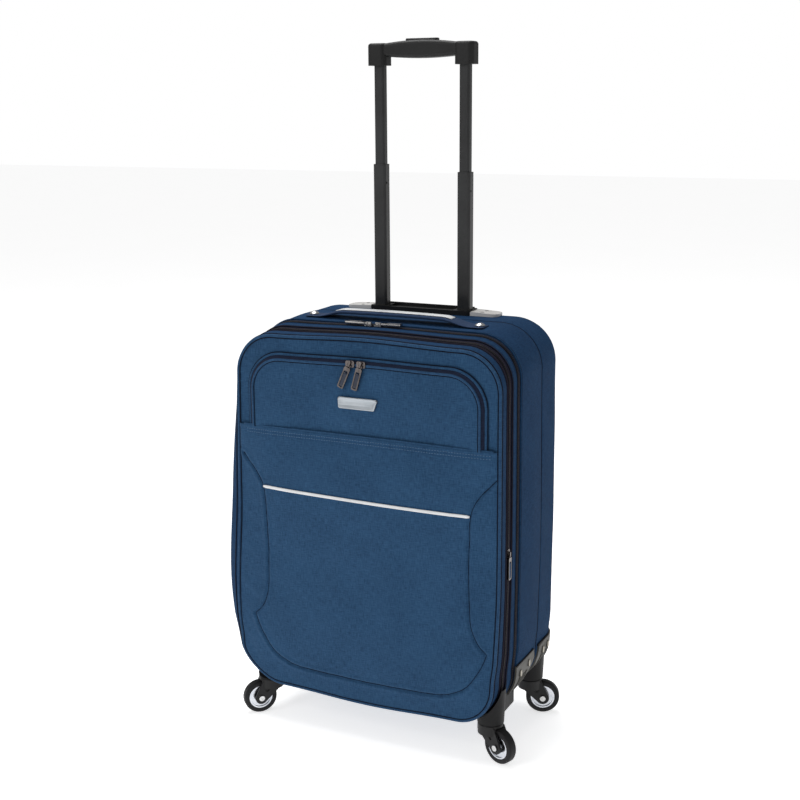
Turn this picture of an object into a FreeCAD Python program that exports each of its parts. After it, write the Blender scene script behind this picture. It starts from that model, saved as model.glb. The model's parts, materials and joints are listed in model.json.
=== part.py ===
import FreeCAD, Part
import os
from math import cos, radians, sin

# Softside upright cabin suitcase on four spinner casters, telescopic handle drawn out.
# Millimetres. X to the right, Y to the rear, Z up; the front cover faces -Y.
# The origin is on the floor, under the middle of the case.

Vector = FreeCAD.Vector
X_AXIS = Vector(1, 0, 0)
Y_AXIS = Vector(0, 1, 0)
Z_AXIS = Vector(0, 0, 1)

# ---------------------------------------------------------------- driving dimensions
BODY_HALF = 180.0            # half width of the main body
BODY_LOW = 52.0
BODY_HIGH = 540.0
COVER_HALF = 178.5           # half width of the front cover, which is a little smaller
COVER_LOW = 52.0
COVER_HIGH = 535.0
CORNER_R = 55.0              # corner radius of both outlines
BACK_EDGE_R = 22.0           # rounding from the sides to the back
WALL = 4.0                   # padded fabric wall
SLIM = 1.5                   # lining and folded gusset
TAPE_INSET = 2.5             # the opening zip lies a little below the case surface

Y_BACK = 108.0
Y_SEAM = 40.0                # side seam between the rear shell and the body gusset
Y_TAPE_BACK = -34.0
Y_MAIN_ZIP = -40.0           # the case opens here
Y_TAPE_FRONT = -46.0
Y_EXPAND_BACK = -59.0
Y_EXPAND_ZIP = -67.0         # the cover pulls forward here
Y_EXPAND_FRONT = -75.0
Y_BOARD = -90.0
Y_FRONT = -95.0
PARTING = 0.2                # half of the gap where two bodies meet
HINGE_X = -181.0             # upright fabric hinge of the cover

POST_X = 60.0                # telescopic posts, left and right of the middle
POST_Y = 80.0
UPPER_TUBE = (14.0, 12.0)
MIDDLE_TUBE = (18.0, 15.0)
OUTER_TUBE = (22.0, 19.0)
TUBE_WALL = 1.5
SLIDE_GAP = 0.35             # clearance all round between two nested tubes
UPPER_TUBE_LOW = 700.0
MIDDLE_TUBE_LOW = 515.0
MIDDLE_TUBE_TOP_LEFT = 731.7
MIDDLE_TUBE_TOP_RIGHT = 723.4
OUTER_TUBE_LOW = 64.0
GRIP_LOW = 857.0
GRIP_END_TOP = 884.0
GRIP_CROWN = 888.0
GRIP_HALF = 74.0
GRIP_LEG = 26.0
GRIP_DEPTH = 25.0
BUTTON_SIZE = (45.0, 10.5)
BUTTON_PROUD = 2.2
BUTTON_DEEP = 6.0

BASE_HALF = 72.0             # black base of the handle, with a silver wing at each end
BASE_WING_END = 109.0
BASE_Y = (66.0, 97.0)
BASE_TOP = 546.0

STRAP_Y = -7.0               # carry handle, over the top
STRAP_HALF = 100.0
STRAP_WIDTH = 26.0
RIVET_X = 117.0

WHEEL_R = 22.5
WHEEL_WIDTH = 13.0
RIM_R = 16.5
AXLE_R = 2.0
TRAIL = 17.0
SWIVEL_X = 161.0
SWIVEL_Y_FRONT = -70.0
SWIVEL_Y_BACK = 74.0
CROWN_R = 16.5
CROWN_TOP = 50.0
KINGPIN_R = 5.0
GUARD_THICK = 2.6
GUARD_TOP = 112.0

# name, side in X, row in Y, direction the wheel trails in, degrees from +X
CASTERS = (
    ("front_left", -1, -1, 226.6),
    ("front_right", 1, -1, -21.7),
    ("back_left", -1, 1, 159.2),
    ("back_right", 1, 1, 20.8),
)

POCKET_HALF = 161.0
POCKET_TOP = 503.0
WELT_Z = 407.0               # line between the upper pocket and the lower pocket
POCKET_DEEP = 8.5            # padded pockets stand this far in front of the piping
POCKET_ZIP_DEEP = 6.0
PULL_LENGTH = 33.0
PULL_WIDTH = 8.5
PULL_THICK = 1.8


# ---------------------------------------------------------------- helpers
def place(shape, origin=Vector(0, 0, 0), axis=Z_AXIS, angle=0.0):
    moved = shape.copy()
    moved.Placement = FreeCAD.Placement(origin, FreeCAD.Rotation(axis, angle)).multiply(moved.Placement)
    return moved


def block(x_range, y_range, z_range):
    size = (x_range[1] - x_range[0], y_range[1] - y_range[0], z_range[1] - z_range[0])
    return Part.makeBox(*size, Vector(x_range[0], y_range[0], z_range[0]))


def edges_along(shape, axis):
    found = []
    for edge in shape.Edges:
        if isinstance(edge.Curve, Part.Line) and abs(edge.Curve.Direction.dot(axis)) > 0.999:
            found.append(edge)
    return found


def rounded_block(x_range, y_range, z_range, radius, axes=(Z_AXIS,)):
    shape = block(x_range, y_range, z_range)
    for axis in axes:
        shape = shape.makeFillet(radius, edges_along(shape, axis))
    return shape


def rounded_outline(half, low, high, radius, y):
    """Closed wire of a rounded rectangle in the X-Z plane at depth y."""
    left, right = -half, half
    diagonal = radius * (1 - cos(radians(45)))

    def at(x, z):
        return Vector(x, y, z)

    edges = [Part.LineSegment(at(left + radius, low), at(right - radius, low)).toShape()]
    edges.append(Part.Arc(at(right - radius, low), at(right - diagonal, low + diagonal),
                          at(right, low + radius)).toShape())
    edges.append(Part.LineSegment(at(right, low + radius), at(right, high - radius)).toShape())
    edges.append(Part.Arc(at(right, high - radius), at(right - diagonal, high - diagonal),
                          at(right - radius, high)).toShape())
    edges.append(Part.LineSegment(at(right - radius, high), at(left + radius, high)).toShape())
    edges.append(Part.Arc(at(left + radius, high), at(left + diagonal, high - diagonal),
                          at(left, high - radius)).toShape())
    edges.append(Part.LineSegment(at(left, high - radius), at(left, low + radius)).toShape())
    edges.append(Part.Arc(at(left, low + radius), at(left + diagonal, low + diagonal),
                          at(left + radius, low)).toShape())
    return Part.Wire(edges)


def outline_solid(outline, inset, y_range):
    """The body or cover outline, set in by inset (out if negative), run from y to y."""
    half, low, high = outline
    wire = rounded_outline(half - inset, low + inset, high - inset, CORNER_R - inset, y_range[0])
    return Part.Face(wire).extrude(Vector(0, y_range[1] - y_range[0], 0))


def outline_ring(outline, outer_inset, inner_inset, y_range):
    margin = 1.0
    inner_range = (y_range[0] - margin, y_range[1] + margin)
    return outline_solid(outline, outer_inset, y_range).cut(outline_solid(outline, inner_inset, inner_range))


def tube(section, wall, centre_x, z_range, radius):
    """Upright rounded rectangular tube on a post's centre line."""
    width, depth = section
    outer = rounded_block((centre_x - width / 2, centre_x + width / 2),
                          (POST_Y - depth / 2, POST_Y + depth / 2), z_range, radius)
    inner = rounded_block((centre_x - width / 2 + wall, centre_x + width / 2 - wall),
                          (POST_Y - depth / 2 + wall, POST_Y + depth / 2 - wall),
                          (z_range[0] - 1, z_range[1] + 1), radius - wall)
    return outer.cut(inner)


def post_hole(section, gap, centre_x, z_range):
    width, depth = section[0] / 2 + gap, section[1] / 2 + gap
    return rounded_block((centre_x - width, centre_x + width), (POST_Y - depth, POST_Y + depth), z_range, 3.0)


def arc_band(half, z_end, z_mid, thickness, y_range):
    """Arched strip along X: its underside rises from z_end at both ends to z_mid."""
    def at(x, z):
        return Vector(x, y_range[0], z)

    low = Part.Arc(at(-half, z_end), at(0, z_mid), at(half, z_end)).toShape()
    high = Part.Arc(at(half, z_end + thickness), at(0, z_mid + thickness), at(-half, z_end + thickness)).toShape()
    right = Part.LineSegment(at(half, z_end), at(half, z_end + thickness)).toShape()
    left = Part.LineSegment(at(-half, z_end + thickness), at(-half, z_end)).toShape()
    face = Part.Face(Part.Wire([low, right, high, left]))
    return face.extrude(Vector(0, y_range[1] - y_range[0], 0))


def export(name, *solids):
    shape = solids[0] if len(solids) == 1 else Part.makeCompound(list(solids))
    shape.exportStep("parts/" + name + ".step")


BODY = (BODY_HALF, BODY_LOW, BODY_HIGH)
COVER = (COVER_HALF, COVER_LOW, COVER_HIGH)


# ---------------------------------------------------------------- case
def make_case():
    outer = outline_solid(BODY, 0, (Y_SEAM, Y_BACK))
    back_rim = [edge for edge in outer.Edges if edge.BoundBox.YMin > Y_BACK - 0.01]
    outer = outer.makeFillet(BACK_EDGE_R, back_rim)
    inner = outline_solid(BODY, WALL, (Y_SEAM - 1, Y_BACK - WALL))
    inner_rim = [edge for edge in inner.Edges if edge.BoundBox.YMin > Y_BACK - WALL - 0.01]
    inner = inner.makeFillet(BACK_EDGE_R - WALL, inner_rim)
    shell = outer.cut(inner)
    for side in (-1, 1):
        shell = shell.cut(post_hole(OUTER_TUBE, 0.3, side * POST_X, (BODY_HIGH - 2 * WALL, BODY_HIGH + 1)))
    export("rear_shell", shell)
    export("body_gusset", outline_ring(BODY, 0, WALL, (Y_TAPE_BACK, Y_SEAM)))
    export("main_zip_case_tape", outline_ring(BODY, TAPE_INSET, WALL, (Y_MAIN_ZIP + PARTING, Y_TAPE_BACK)))
    export("frame_ring", outline_ring(BODY, WALL, WALL + 2, (Y_TAPE_BACK, Y_TAPE_BACK + 11)))
    board_half = BODY_HALF - CORNER_R - 4
    export("bottom_board", block((-board_half, board_half), (Y_TAPE_BACK + 12, Y_SEAM + 24),
                                 (BODY_LOW + WALL, BODY_LOW + WALL + 2.5)))
    cover = outline_solid(BODY, WALL, (POST_Y - 14, POST_Y - 14 + SLIM))
    export("trolley_cover", cover)


def make_handle_base():
    base = rounded_block((-BASE_HALF, BASE_HALF), BASE_Y, (BODY_HIGH, BASE_TOP), 4.0)
    tray = rounded_block((-POST_X + 13, POST_X - 13), (BASE_Y[0] + 3.5, BASE_Y[1] - 3.5),
                         (BASE_TOP - 3.0, BASE_TOP + 1), 3.0)
    base = base.cut(tray)
    lip = block((-BASE_HALF + 5, BASE_HALF - 5), (BASE_Y[1] - 3.0, BASE_Y[1] - 0.5), (BASE_TOP - 1, BASE_TOP + 1.5))
    base = base.fuse(lip)
    for side in (-1, 1):
        base = base.cut(post_hole(OUTER_TUBE, 0.0, side * POST_X, (BODY_HIGH - 1, BASE_TOP - 2)))
        base = base.cut(post_hole(MIDDLE_TUBE, SLIDE_GAP, side * POST_X, (BODY_HIGH, BASE_TOP + 3)))
    export("handle_base", base)

    wings = []
    screws = []
    for side in (-1, 1):
        def at(x, z):
            return Vector(side * x, BASE_Y[0] + 2, z)
        profile = [at(BASE_HALF, BODY_HIGH), at(BASE_WING_END, BODY_HIGH), at(BASE_WING_END, BODY_HIGH + 3.5),
                   at(BASE_HALF + 6, BASE_TOP - 1), at(BASE_HALF, BASE_TOP - 1), at(BASE_HALF, BODY_HIGH)]
        wing = Part.Face(Part.makePolygon(profile)).extrude(Vector(0, BASE_Y[1] - BASE_Y[0] - 3, 0))
        outer_edges = [edge for edge in edges_along(wing, Z_AXIS) if edge.BoundBox.XMax * side > BASE_WING_END - 1
                       or edge.BoundBox.XMin * side > BASE_WING_END - 1]
        wing = wing.makeFillet(9.0, outer_edges)
        for screw_y in (BASE_Y[0] + 8, BASE_Y[1] - 8):
            screw_at = Vector(side * (BASE_HALF + 15), screw_y, BODY_HIGH)
            wing = wing.cut(Part.makeCylinder(2.6, 20, screw_at))
            screws.append(Part.makeCylinder(2.4, BASE_TOP - 1.2 - BODY_HIGH, screw_at))
        wings.append(wing)
    export("handle_base_wings", *wings)
    return screws


def make_outer_tubes():
    tubes = []
    sockets = rounded_block((-POST_X - 17, POST_X + 17), (POST_Y - 12.2, POST_Y + 12.2),
                            (BODY_LOW + WALL + 2, OUTER_TUBE_LOW + 16), 5.0)
    for side in (-1, 1):
        tubes.append(tube(OUTER_TUBE, TUBE_WALL, side * POST_X, (OUTER_TUBE_LOW, BASE_TOP - 2), 3.4))
        sockets = sockets.cut(post_hole(OUTER_TUBE, 0.0, side * POST_X, (OUTER_TUBE_LOW, OUTER_TUBE_LOW + 30)))
    export("outer_tubes", *tubes)
    export("tube_bracket", sockets)


def cover_sweep():
    """Space that the opening cover passes through, with a little room all round."""
    room = 0.8
    standing = outline_solid(COVER, -room, (-120, Y_MAIN_ZIP + 2))
    half, low, high = COVER
    wire = rounded_outline(half + room, low - room, high + room, CORNER_R + room, Y_MAIN_ZIP)
    turning = Part.Face(wire).revolve(Vector(HINGE_X - room, Y_MAIN_ZIP, 0), Z_AXIS, -140)
    return standing, turning


def grown_case(grow):
    """The case outline with its rounded back, grown all round."""
    solid = outline_solid(BODY, -grow, (0, Y_BACK + grow))
    rim = [edge for edge in solid.Edges if edge.BoundBox.YMin > Y_BACK + grow - 0.01]
    solid = solid.makeFillet(BACK_EDGE_R + grow, rim)
    return solid.fuse(outline_solid(BODY, -grow, (Y_MAIN_ZIP + 1, 1)))


def guard_window(side, points):
    """Prism through one bottom corner whose side view is the polygon of (y, z) points."""
    corners = [Vector(0, y, z) for y, z in points]
    side_view = Part.Face(Part.makePolygon(corners + corners[:1]))
    start, end = sorted((side * (BODY_HALF - 48), side * (BODY_HALF + 10)))
    return place(side_view, Vector(start, 0, 0)).extrude(Vector(end - start, 0, 0))


def make_guards():
    """Moulded guards on the bottom corners, ribbed round the bend, each with two raised pads."""
    guard_skin = grown_case(GUARD_THICK).cut(grown_case(0.2))
    behind = block((-BODY_HALF - 10, BODY_HALF + 10), (Y_BACK, Y_BACK + 10), (BODY_LOW - 10, GUARD_TOP + 10))
    guard_skin = guard_skin.cut(behind)
    front_view = ((-37, GUARD_TOP + 1), (27, GUARD_TOP), (29, GUARD_TOP - 12), (10, 68), (6, 40), (-37, 40))
    back_view = ((47, GUARD_TOP - 4), (Y_BACK + 5, GUARD_TOP + 1), (Y_BACK + 5, 40), (52, 40), (50, 68), (43, 92))
    guards = {}
    for name, side, row, _ in CASTERS:
        window = guard_window(side, front_view if row < 0 else back_view)
        guard = guard_skin.common(window)
        bend = block(sorted((side * 158, side * 200)), (-60, 130), (62, 92))
        first_rib = -22 if row < 0 else 60
        for rib in range(4):
            rib_y = first_rib + 8 * rib
            ridge = outline_ring(BODY, -GUARD_THICK - 1.2, -GUARD_THICK + 0.4, (rib_y, rib_y + 2.5))
            guard = guard.fuse(ridge.common(bend).common(window))
        pad_places = ((-22, 99), (8, 101)) if row < 0 else ((62, 98), (80, 99))
        for pad_y, pad_z in pad_places:
            x_range = sorted((side * (BODY_HALF + 1), side * (BODY_HALF + GUARD_THICK + 0.8)))
            guard = guard.fuse(rounded_block(x_range, (pad_y - 2.7, pad_y + 2.7), (pad_z - 4.5, pad_z + 4.5),
                                             1.5, (X_AXIS,)))
        guards[name] = guard.removeSplitter()
        export("corner_guard_" + name, guards[name])
    return guards


def make_housings(guards):
    """Columns that carry the casters; the front ones reach forward under the cover on an arm."""
    standing, turning = cover_sweep()
    case_space = grown_case(0.2)
    housings = []
    for name, side, row, _ in CASTERS:
        swivel_y = SWIVEL_Y_FRONT if row < 0 else SWIVEL_Y_BACK
        low = CROWN_TOP + 0.5
        housing = Part.makeCone(CROWN_R + 0.5, CROWN_R + 2.5, 46, Vector(side * SWIVEL_X, swivel_y, low))
        if row < 0:
            x_range = sorted((side * (SWIVEL_X - 12), side * (SWIVEL_X + 10)))
            housing = housing.fuse(rounded_block(x_range, (swivel_y, -12), (low + 4, 96), 4.0))
            housing = housing.cut(standing)
        if name == "front_left":
            housing = housing.cut(turning)
        housing = housing.cut(case_space).cut(guards[name])
        beyond = block(sorted((side * (BODY_HALF + 1), side * 220)), (-130, 130), (0, 200))
        housing = housing.cut(beyond)
        housing = housing.cut(Part.makeCylinder(KINGPIN_R + 0.4, 4.5, Vector(side * SWIVEL_X, swivel_y, CROWN_TOP)))
        housings.append(max(housing.Solids, key=lambda solid: solid.Volume))
    export("caster_housings", *housings)


def make_carry_handle():
    y_range = (STRAP_Y - STRAP_WIDTH / 2, STRAP_Y + STRAP_WIDTH / 2)
    export("carry_handle", arc_band(STRAP_HALF, BODY_HIGH + 3.5, BODY_HIGH + 10.5, 5.0, y_range))
    stripe_half = STRAP_HALF - 18
    stripe = arc_band(STRAP_HALF, BODY_HIGH + 8.5, BODY_HIGH + 15.5, 0.9, (STRAP_Y - 6.5, STRAP_Y + 6.5))
    export("carry_handle_stripe", stripe.common(block((-stripe_half, stripe_half), (-40, 40), (500, 600))))
    tabs = []
    rivets = []
    for side in (-1, 1):
        x_range = sorted((side * (STRAP_HALF + 0.5), side * (RIVET_X + 8)))
        tabs.append(rounded_block(x_range, y_range, (BODY_HIGH, BODY_HIGH + 2.6), 3.0))
        dome = Part.makeSphere(8.0, Vector(side * RIVET_X, STRAP_Y, BODY_HIGH - 2.2))
        cap = block((side * RIVET_X - 9, side * RIVET_X + 9), (STRAP_Y - 9, STRAP_Y + 9),
                    (BODY_HIGH + 2.6, BODY_HIGH + 12))
        rivets.append(dome.common(cap))
    export("carry_handle_tabs", *tabs)
    export("handle_rivets", *rivets)


# ---------------------------------------------------------------- front cover
def make_cover():
    export("main_zip_cover_tape", outline_ring(COVER, 0.5, WALL - 1, (Y_TAPE_FRONT, Y_MAIN_ZIP - PARTING)))
    export("cover_gusset", outline_ring(COVER, 0, WALL, (Y_EXPAND_BACK, Y_TAPE_FRONT)))
    export("expander_rear_tape", outline_ring(COVER, 0.5, WALL - 1, (Y_EXPAND_ZIP + PARTING, Y_EXPAND_BACK)))
    sleeve_inset = WALL + 2
    flange = outline_ring(COVER, WALL, sleeve_inset + SLIM, (Y_EXPAND_BACK + 1, Y_TAPE_FRONT - 6))
    sleeve = outline_ring(COVER, sleeve_inset, sleeve_inset + SLIM, (Y_BOARD + 1, Y_TAPE_FRONT - 6))
    export("expansion_gusset", sleeve.fuse(flange).removeSplitter())

    export("expander_front_tape", outline_ring(COVER, 0.5, WALL - 1, (Y_EXPAND_FRONT, Y_EXPAND_ZIP - PARTING)))
    export("front_gusset", outline_ring(COVER, 0, WALL, (Y_FRONT + 1, Y_EXPAND_FRONT)))
    export("front_board", outline_solid(COVER, WALL, (Y_FRONT, Y_BOARD)))
    piping_r = 2.2
    path = rounded_outline(COVER_HALF - 0.5, COVER_LOW + 0.5, COVER_HIGH - 0.5, CORNER_R - 0.5, Y_FRONT - 1.3)
    section = Part.Wire(Part.makeCircle(piping_r, Vector(0, Y_FRONT - 1.3, COVER_LOW + 0.5), X_AXIS))
    export("front_piping", path.makePipeShell([section], True, False))


def pocket_face(y, inset):
    """Upper pocket: rounded at the top, straight along the welt."""
    half = POCKET_HALF - inset
    top = POCKET_TOP - inset
    low = WELT_Z + 2
    radius = 46.0 - inset
    diagonal = radius * (1 - cos(radians(45)))

    def at(x, z):
        return Vector(x, y, z)

    edges = [
        Part.LineSegment(at(-half, low), at(half, low)).toShape(),
        Part.LineSegment(at(half, low), at(half, top - radius)).toShape(),
        Part.Arc(at(half, top - radius), at(half - diagonal, top - diagonal), at(half - radius, top)).toShape(),
        Part.LineSegment(at(half - radius, top), at(-half + radius, top)).toShape(),
        Part.Arc(at(-half + radius, top), at(-half + diagonal, top - diagonal), at(-half, top - radius)).toShape(),
        Part.LineSegment(at(-half, top - radius), at(-half, low)).toShape(),
    ]
    return Part.Face(Part.Wire(edges))


def make_pockets():
    tape_width = 7.0
    face_y = Y_FRONT - 0.1
    export("upper_pocket", pocket_face(face_y, tape_width + 0.2).extrude(Vector(0, -POCKET_DEEP, 0)))
    tape = pocket_face(face_y, 0).cut(pocket_face(face_y, tape_width))
    export("pocket_zip_tape", tape.extrude(Vector(0, -POCKET_ZIP_DEEP, 0)))

    half = 152.0
    low = 78.0
    high = WELT_Z - 2
    radius = 45.0
    diagonal = radius * (1 - cos(radians(45)))

    def at(x, z):
        return Vector(x, face_y, z)

    edges = [
        Part.LineSegment(at(-half, high), at(half, high)).toShape(),
        Part.LineSegment(at(half, high), at(half, low + radius)).toShape(),
        Part.Arc(at(half, low + radius), at(half - diagonal, low + diagonal), at(half - radius, low)).toShape(),
        Part.LineSegment(at(half - radius, low), at(-half + radius, low)).toShape(),
        Part.Arc(at(-half + radius, low), at(-half + diagonal, low + diagonal), at(-half, low + radius)).toShape(),
        Part.LineSegment(at(-half, low + radius), at(-half, high)).toShape(),
    ]
    lower = Part.Face(Part.Wire(edges)).extrude(Vector(0, -POCKET_DEEP, 0))
    export("lower_pocket", lower)
    front = face_y - POCKET_DEEP
    export("pocket_trim", block((-144, 144), (front - 1.6, front), (326, 330)))
    badge = rounded_block((-31, 23), (front - 2.2, front), (445, 459), 3.0, (Y_AXIS,))
    export("badge", badge)


# ---------------------------------------------------------------- telescopic handle
def make_grip():
    y_range = (POST_Y - GRIP_DEPTH / 2, POST_Y + GRIP_DEPTH / 2)
    bar_y = (POST_Y - 10.5, POST_Y + 10.5)
    inner_x = GRIP_HALF - GRIP_LEG

    def at(x, z):
        return Vector(x, bar_y[0], z)

    top = Part.Arc(at(-inner_x - 6, GRIP_END_TOP), at(0, GRIP_CROWN), at(inner_x + 6, GRIP_END_TOP)).toShape()
    under = Part.Arc(at(inner_x + 6, 868.5), at(0, 865.5), at(-inner_x - 6, 868.5)).toShape()
    right = Part.LineSegment(at(inner_x + 6, GRIP_END_TOP), at(inner_x + 6, 868.5)).toShape()
    left = Part.LineSegment(at(-inner_x - 6, 868.5), at(-inner_x - 6, GRIP_END_TOP)).toShape()
    bar = Part.Face(Part.Wire([top, right, under, left])).extrude(Vector(0, bar_y[1] - bar_y[0], 0))
    long_edges = [edge for edge in bar.Edges if edge.BoundBox.XLength > inner_x]
    grip = bar.makeFillet(5.0, long_edges)
    for side in (-1, 1):
        x_range = sorted((side * inner_x, side * GRIP_HALF))
        leg = rounded_block(x_range, y_range, (GRIP_LOW, GRIP_END_TOP + 1), 7.0)
        top_edges = [edge for edge in leg.Edges if edge.BoundBox.ZMin > GRIP_END_TOP]
        leg = leg.makeFillet(4.0, top_edges)
        grip = grip.fuse(leg)
    for side in (-1, 1):
        grip = grip.cut(post_hole(UPPER_TUBE, 0.0, side * POST_X, (GRIP_LOW - 1, GRIP_LOW + 16)))
    width, depth = BUTTON_SIZE[0] / 2 + 0.4, BUTTON_SIZE[1] / 2 + 0.4
    well = rounded_block((-width, width), (POST_Y - depth, POST_Y + depth),
                         (GRIP_CROWN - BUTTON_DEEP - 3.6, GRIP_CROWN + 5), 4.0)
    export("grip", grip.cut(well))

    width, depth = BUTTON_SIZE[0] / 2, BUTTON_SIZE[1] / 2
    button = rounded_block((-width, width), (POST_Y - depth, POST_Y + depth),
                           (GRIP_CROWN - BUTTON_DEEP, GRIP_CROWN + BUTTON_PROUD), 3.6)
    top_edges = [edge for edge in button.Edges if edge.BoundBox.ZMin > GRIP_CROWN + 1]
    export("release_button", button.makeFillet(1.6, top_edges))


def make_telescopic_tubes():
    uppers = []
    for side in (-1, 1):
        uppers.append(tube(UPPER_TUBE, 1.2, side * POST_X, (UPPER_TUBE_LOW, GRIP_LOW + 16), 3.0))
    export("upper_tubes", *uppers)
    for name, side, top in (("left", -1, MIDDLE_TUBE_TOP_LEFT), ("right", 1, MIDDLE_TUBE_TOP_RIGHT)):
        middle = tube(MIDDLE_TUBE, MIDDLE_TUBE[0] / 2 - UPPER_TUBE[0] / 2 - SLIDE_GAP, side * POST_X,
                      (MIDDLE_TUBE_LOW, top), 3.3)
        middle = middle.cut(post_hole(UPPER_TUBE, SLIDE_GAP, side * POST_X, (MIDDLE_TUBE_LOW - 1, top + 1)))
        pin_hole = Part.makeCylinder(1.6, 10, Vector(side * POST_X + 4, POST_Y - 3, top - 24), X_AXIS)
        export("middle_tube_" + name, middle.cut(pin_hole))


# ---------------------------------------------------------------- casters
def fork_cheek(y_range):
    """One cheek of the fork, tapering from the crown to a round end about the axle."""
    def at(x, z):
        return Vector(x, y_range[0], z)

    top_z = CROWN_TOP - 3.0
    tip_r = 8.5
    front_x, back_x = -13.5, 14.5
    lead = radians(40)
    front_tip = at(TRAIL - tip_r * cos(lead), WHEEL_R - tip_r * sin(lead))
    low_tip = at(TRAIL + tip_r * sin(radians(20)), WHEEL_R - tip_r * cos(radians(20)))
    back_tip = at(TRAIL + tip_r, WHEEL_R + 1.5)
    edges = [
        Part.LineSegment(at(front_x, top_z), at(front_x, top_z - 8)).toShape(),
        Part.LineSegment(at(front_x, top_z - 8), front_tip).toShape(),
        Part.Arc(front_tip, low_tip, back_tip).toShape(),
        Part.LineSegment(back_tip, at(back_x, top_z)).toShape(),
        Part.LineSegment(at(back_x, top_z), at(front_x, top_z)).toShape(),
    ]
    return Part.Face(Part.Wire(edges)).extrude(Vector(0, y_range[1] - y_range[0], 0))


def make_caster(name, side, row, heading):
    swivel_y = SWIVEL_Y_FRONT if row < 0 else SWIVEL_Y_BACK
    spot = Vector(side * SWIVEL_X, swivel_y, 0)
    hub = Vector(TRAIL, 0, WHEEL_R)
    cheek_in = WHEEL_WIDTH / 2 + 0.6
    cheek_out = cheek_in + 3.0

    fork = Part.makeCylinder(CROWN_R, 14.0, Vector(0, 0, CROWN_TOP - 14.0))
    fork = fork.makeFillet(2.0, [edge for edge in fork.Edges if edge.BoundBox.ZMin > CROWN_TOP - 1])
    for y_range in ((-cheek_out, -cheek_in), (cheek_in, cheek_out)):
        fork = fork.fuse(fork_cheek(y_range))
    wheel_well = block((TRAIL - WHEEL_R - 1.2, 60), (-cheek_in, cheek_in), (0, 46.0))
    fork = fork.cut(wheel_well)
    fork = fork.fuse(Part.makeCylinder(KINGPIN_R, 4.0, Vector(0, 0, CROWN_TOP - 0.1)))
    axle_hole = Part.makeCylinder(AXLE_R, 40, hub - Vector(0, 20, 0), Y_AXIS)
    fork = fork.cut(axle_hole)
    for direction in (-1, 1):
        slot_y = sorted((direction * (cheek_out - 1.2), direction * (cheek_out + 1)))
        slot = rounded_block((1, 13), slot_y, (33.5, 38.5), 2.4, (Y_AXIS,))
        slot.rotate(Vector(7, 0, 36), Y_AXIS, 52)
        fork = fork.cut(slot)
    fork = fork.removeSplitter()
    axle = Part.makeCylinder(AXLE_R, 2 * cheek_out, hub - Vector(0, cheek_out, 0), Y_AXIS)
    for direction in (-1, 1):
        cap = Part.makeCylinder(3.8, 1.3, hub + Vector(0, direction * cheek_out, 0), Vector(0, direction, 0))
        axle = axle.fuse(cap)

    tyre = Part.makeCylinder(WHEEL_R, WHEEL_WIDTH, hub - Vector(0, WHEEL_WIDTH / 2, 0), Y_AXIS)
    tyre = tyre.makeFillet(3.2, [edge for edge in tyre.Edges if isinstance(edge.Curve, Part.Circle)])
    tyre = tyre.cut(Part.makeCylinder(RIM_R, 40, hub - Vector(0, 20, 0), Y_AXIS))
    rim = Part.makeCylinder(RIM_R, WHEEL_WIDTH - 1.6, hub - Vector(0, WHEEL_WIDTH / 2 - 0.8, 0), Y_AXIS)
    rim = rim.makeFillet(0.8, [edge for edge in rim.Edges if isinstance(edge.Curve, Part.Circle)])
    for direction in (-1, 1):
        dish_at = hub + Vector(0, direction * (WHEEL_WIDTH / 2 - 2.4), 0)
        dish = Part.makeCylinder(RIM_R - 2.4, 10, dish_at, Vector(0, direction, 0))
        boss = Part.makeCylinder(5.5, 12, dish_at - Vector(0, direction, 0), Vector(0, direction, 0))
        rim = rim.cut(dish.cut(boss))
    rim = rim.cut(Part.makeCylinder(AXLE_R + 0.06, 40, hub - Vector(0, 20, 0), Y_AXIS))

    turned = {"caster_fork": (fork, axle), "tyre": (tyre,), "rim": (rim,)}
    for prefix, solids in turned.items():
        export(prefix + "_" + name, *[place(solid, spot, Z_AXIS, heading) for solid in solids])


# ---------------------------------------------------------------- zip sliders and pulls
def slider_and_pull(turn):
    """A slider on a zip that runs along X, seen from +Z; its pull points to -X, turned about Z."""
    loop = Part.makeBox(7.0, 2.6, 2.4, Vector(-3.5, -1.3, 3.0))
    loop = loop.makeFillet(1.0, edges_along(loop, Y_AXIS))
    loop = loop.fuse(Part.makeBox(6.0, 2.2, 1.0, Vector(-3.0, -1.1, 2.3)))
    loop = loop.cut(Part.makeCylinder(0.95, 20, Vector(-1.4, -10, 3.9), Y_AXIS))
    slider = rounded_block((-6.0, 6.0), (-4.2, 4.2), (0.4, 2.6), 2.4)
    slider = slider.fuse(place(loop, angle=turn))
    pull = rounded_block((-PULL_LENGTH, -4.2), (-PULL_WIDTH / 2, PULL_WIDTH / 2), (3.3, 3.3 + PULL_THICK), 2.0)
    pull = pull.cut(rounded_block((1.8 - PULL_LENGTH, -9.5), (-2.6, 2.6), (0, 10), 1.4))
    for direction in (-1, 1):
        pull = pull.fuse(Part.makeBox(5.2, 1.1, 1.2, Vector(-6.0, direction * 2.4 - 0.55, 3.3)))
    pull = pull.fuse(Part.makeCylinder(0.65, 5.6, Vector(-1.4, -2.8, 3.9), Y_AXIS))
    return slider, place(pull.removeSplitter(), angle=turn)


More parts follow.
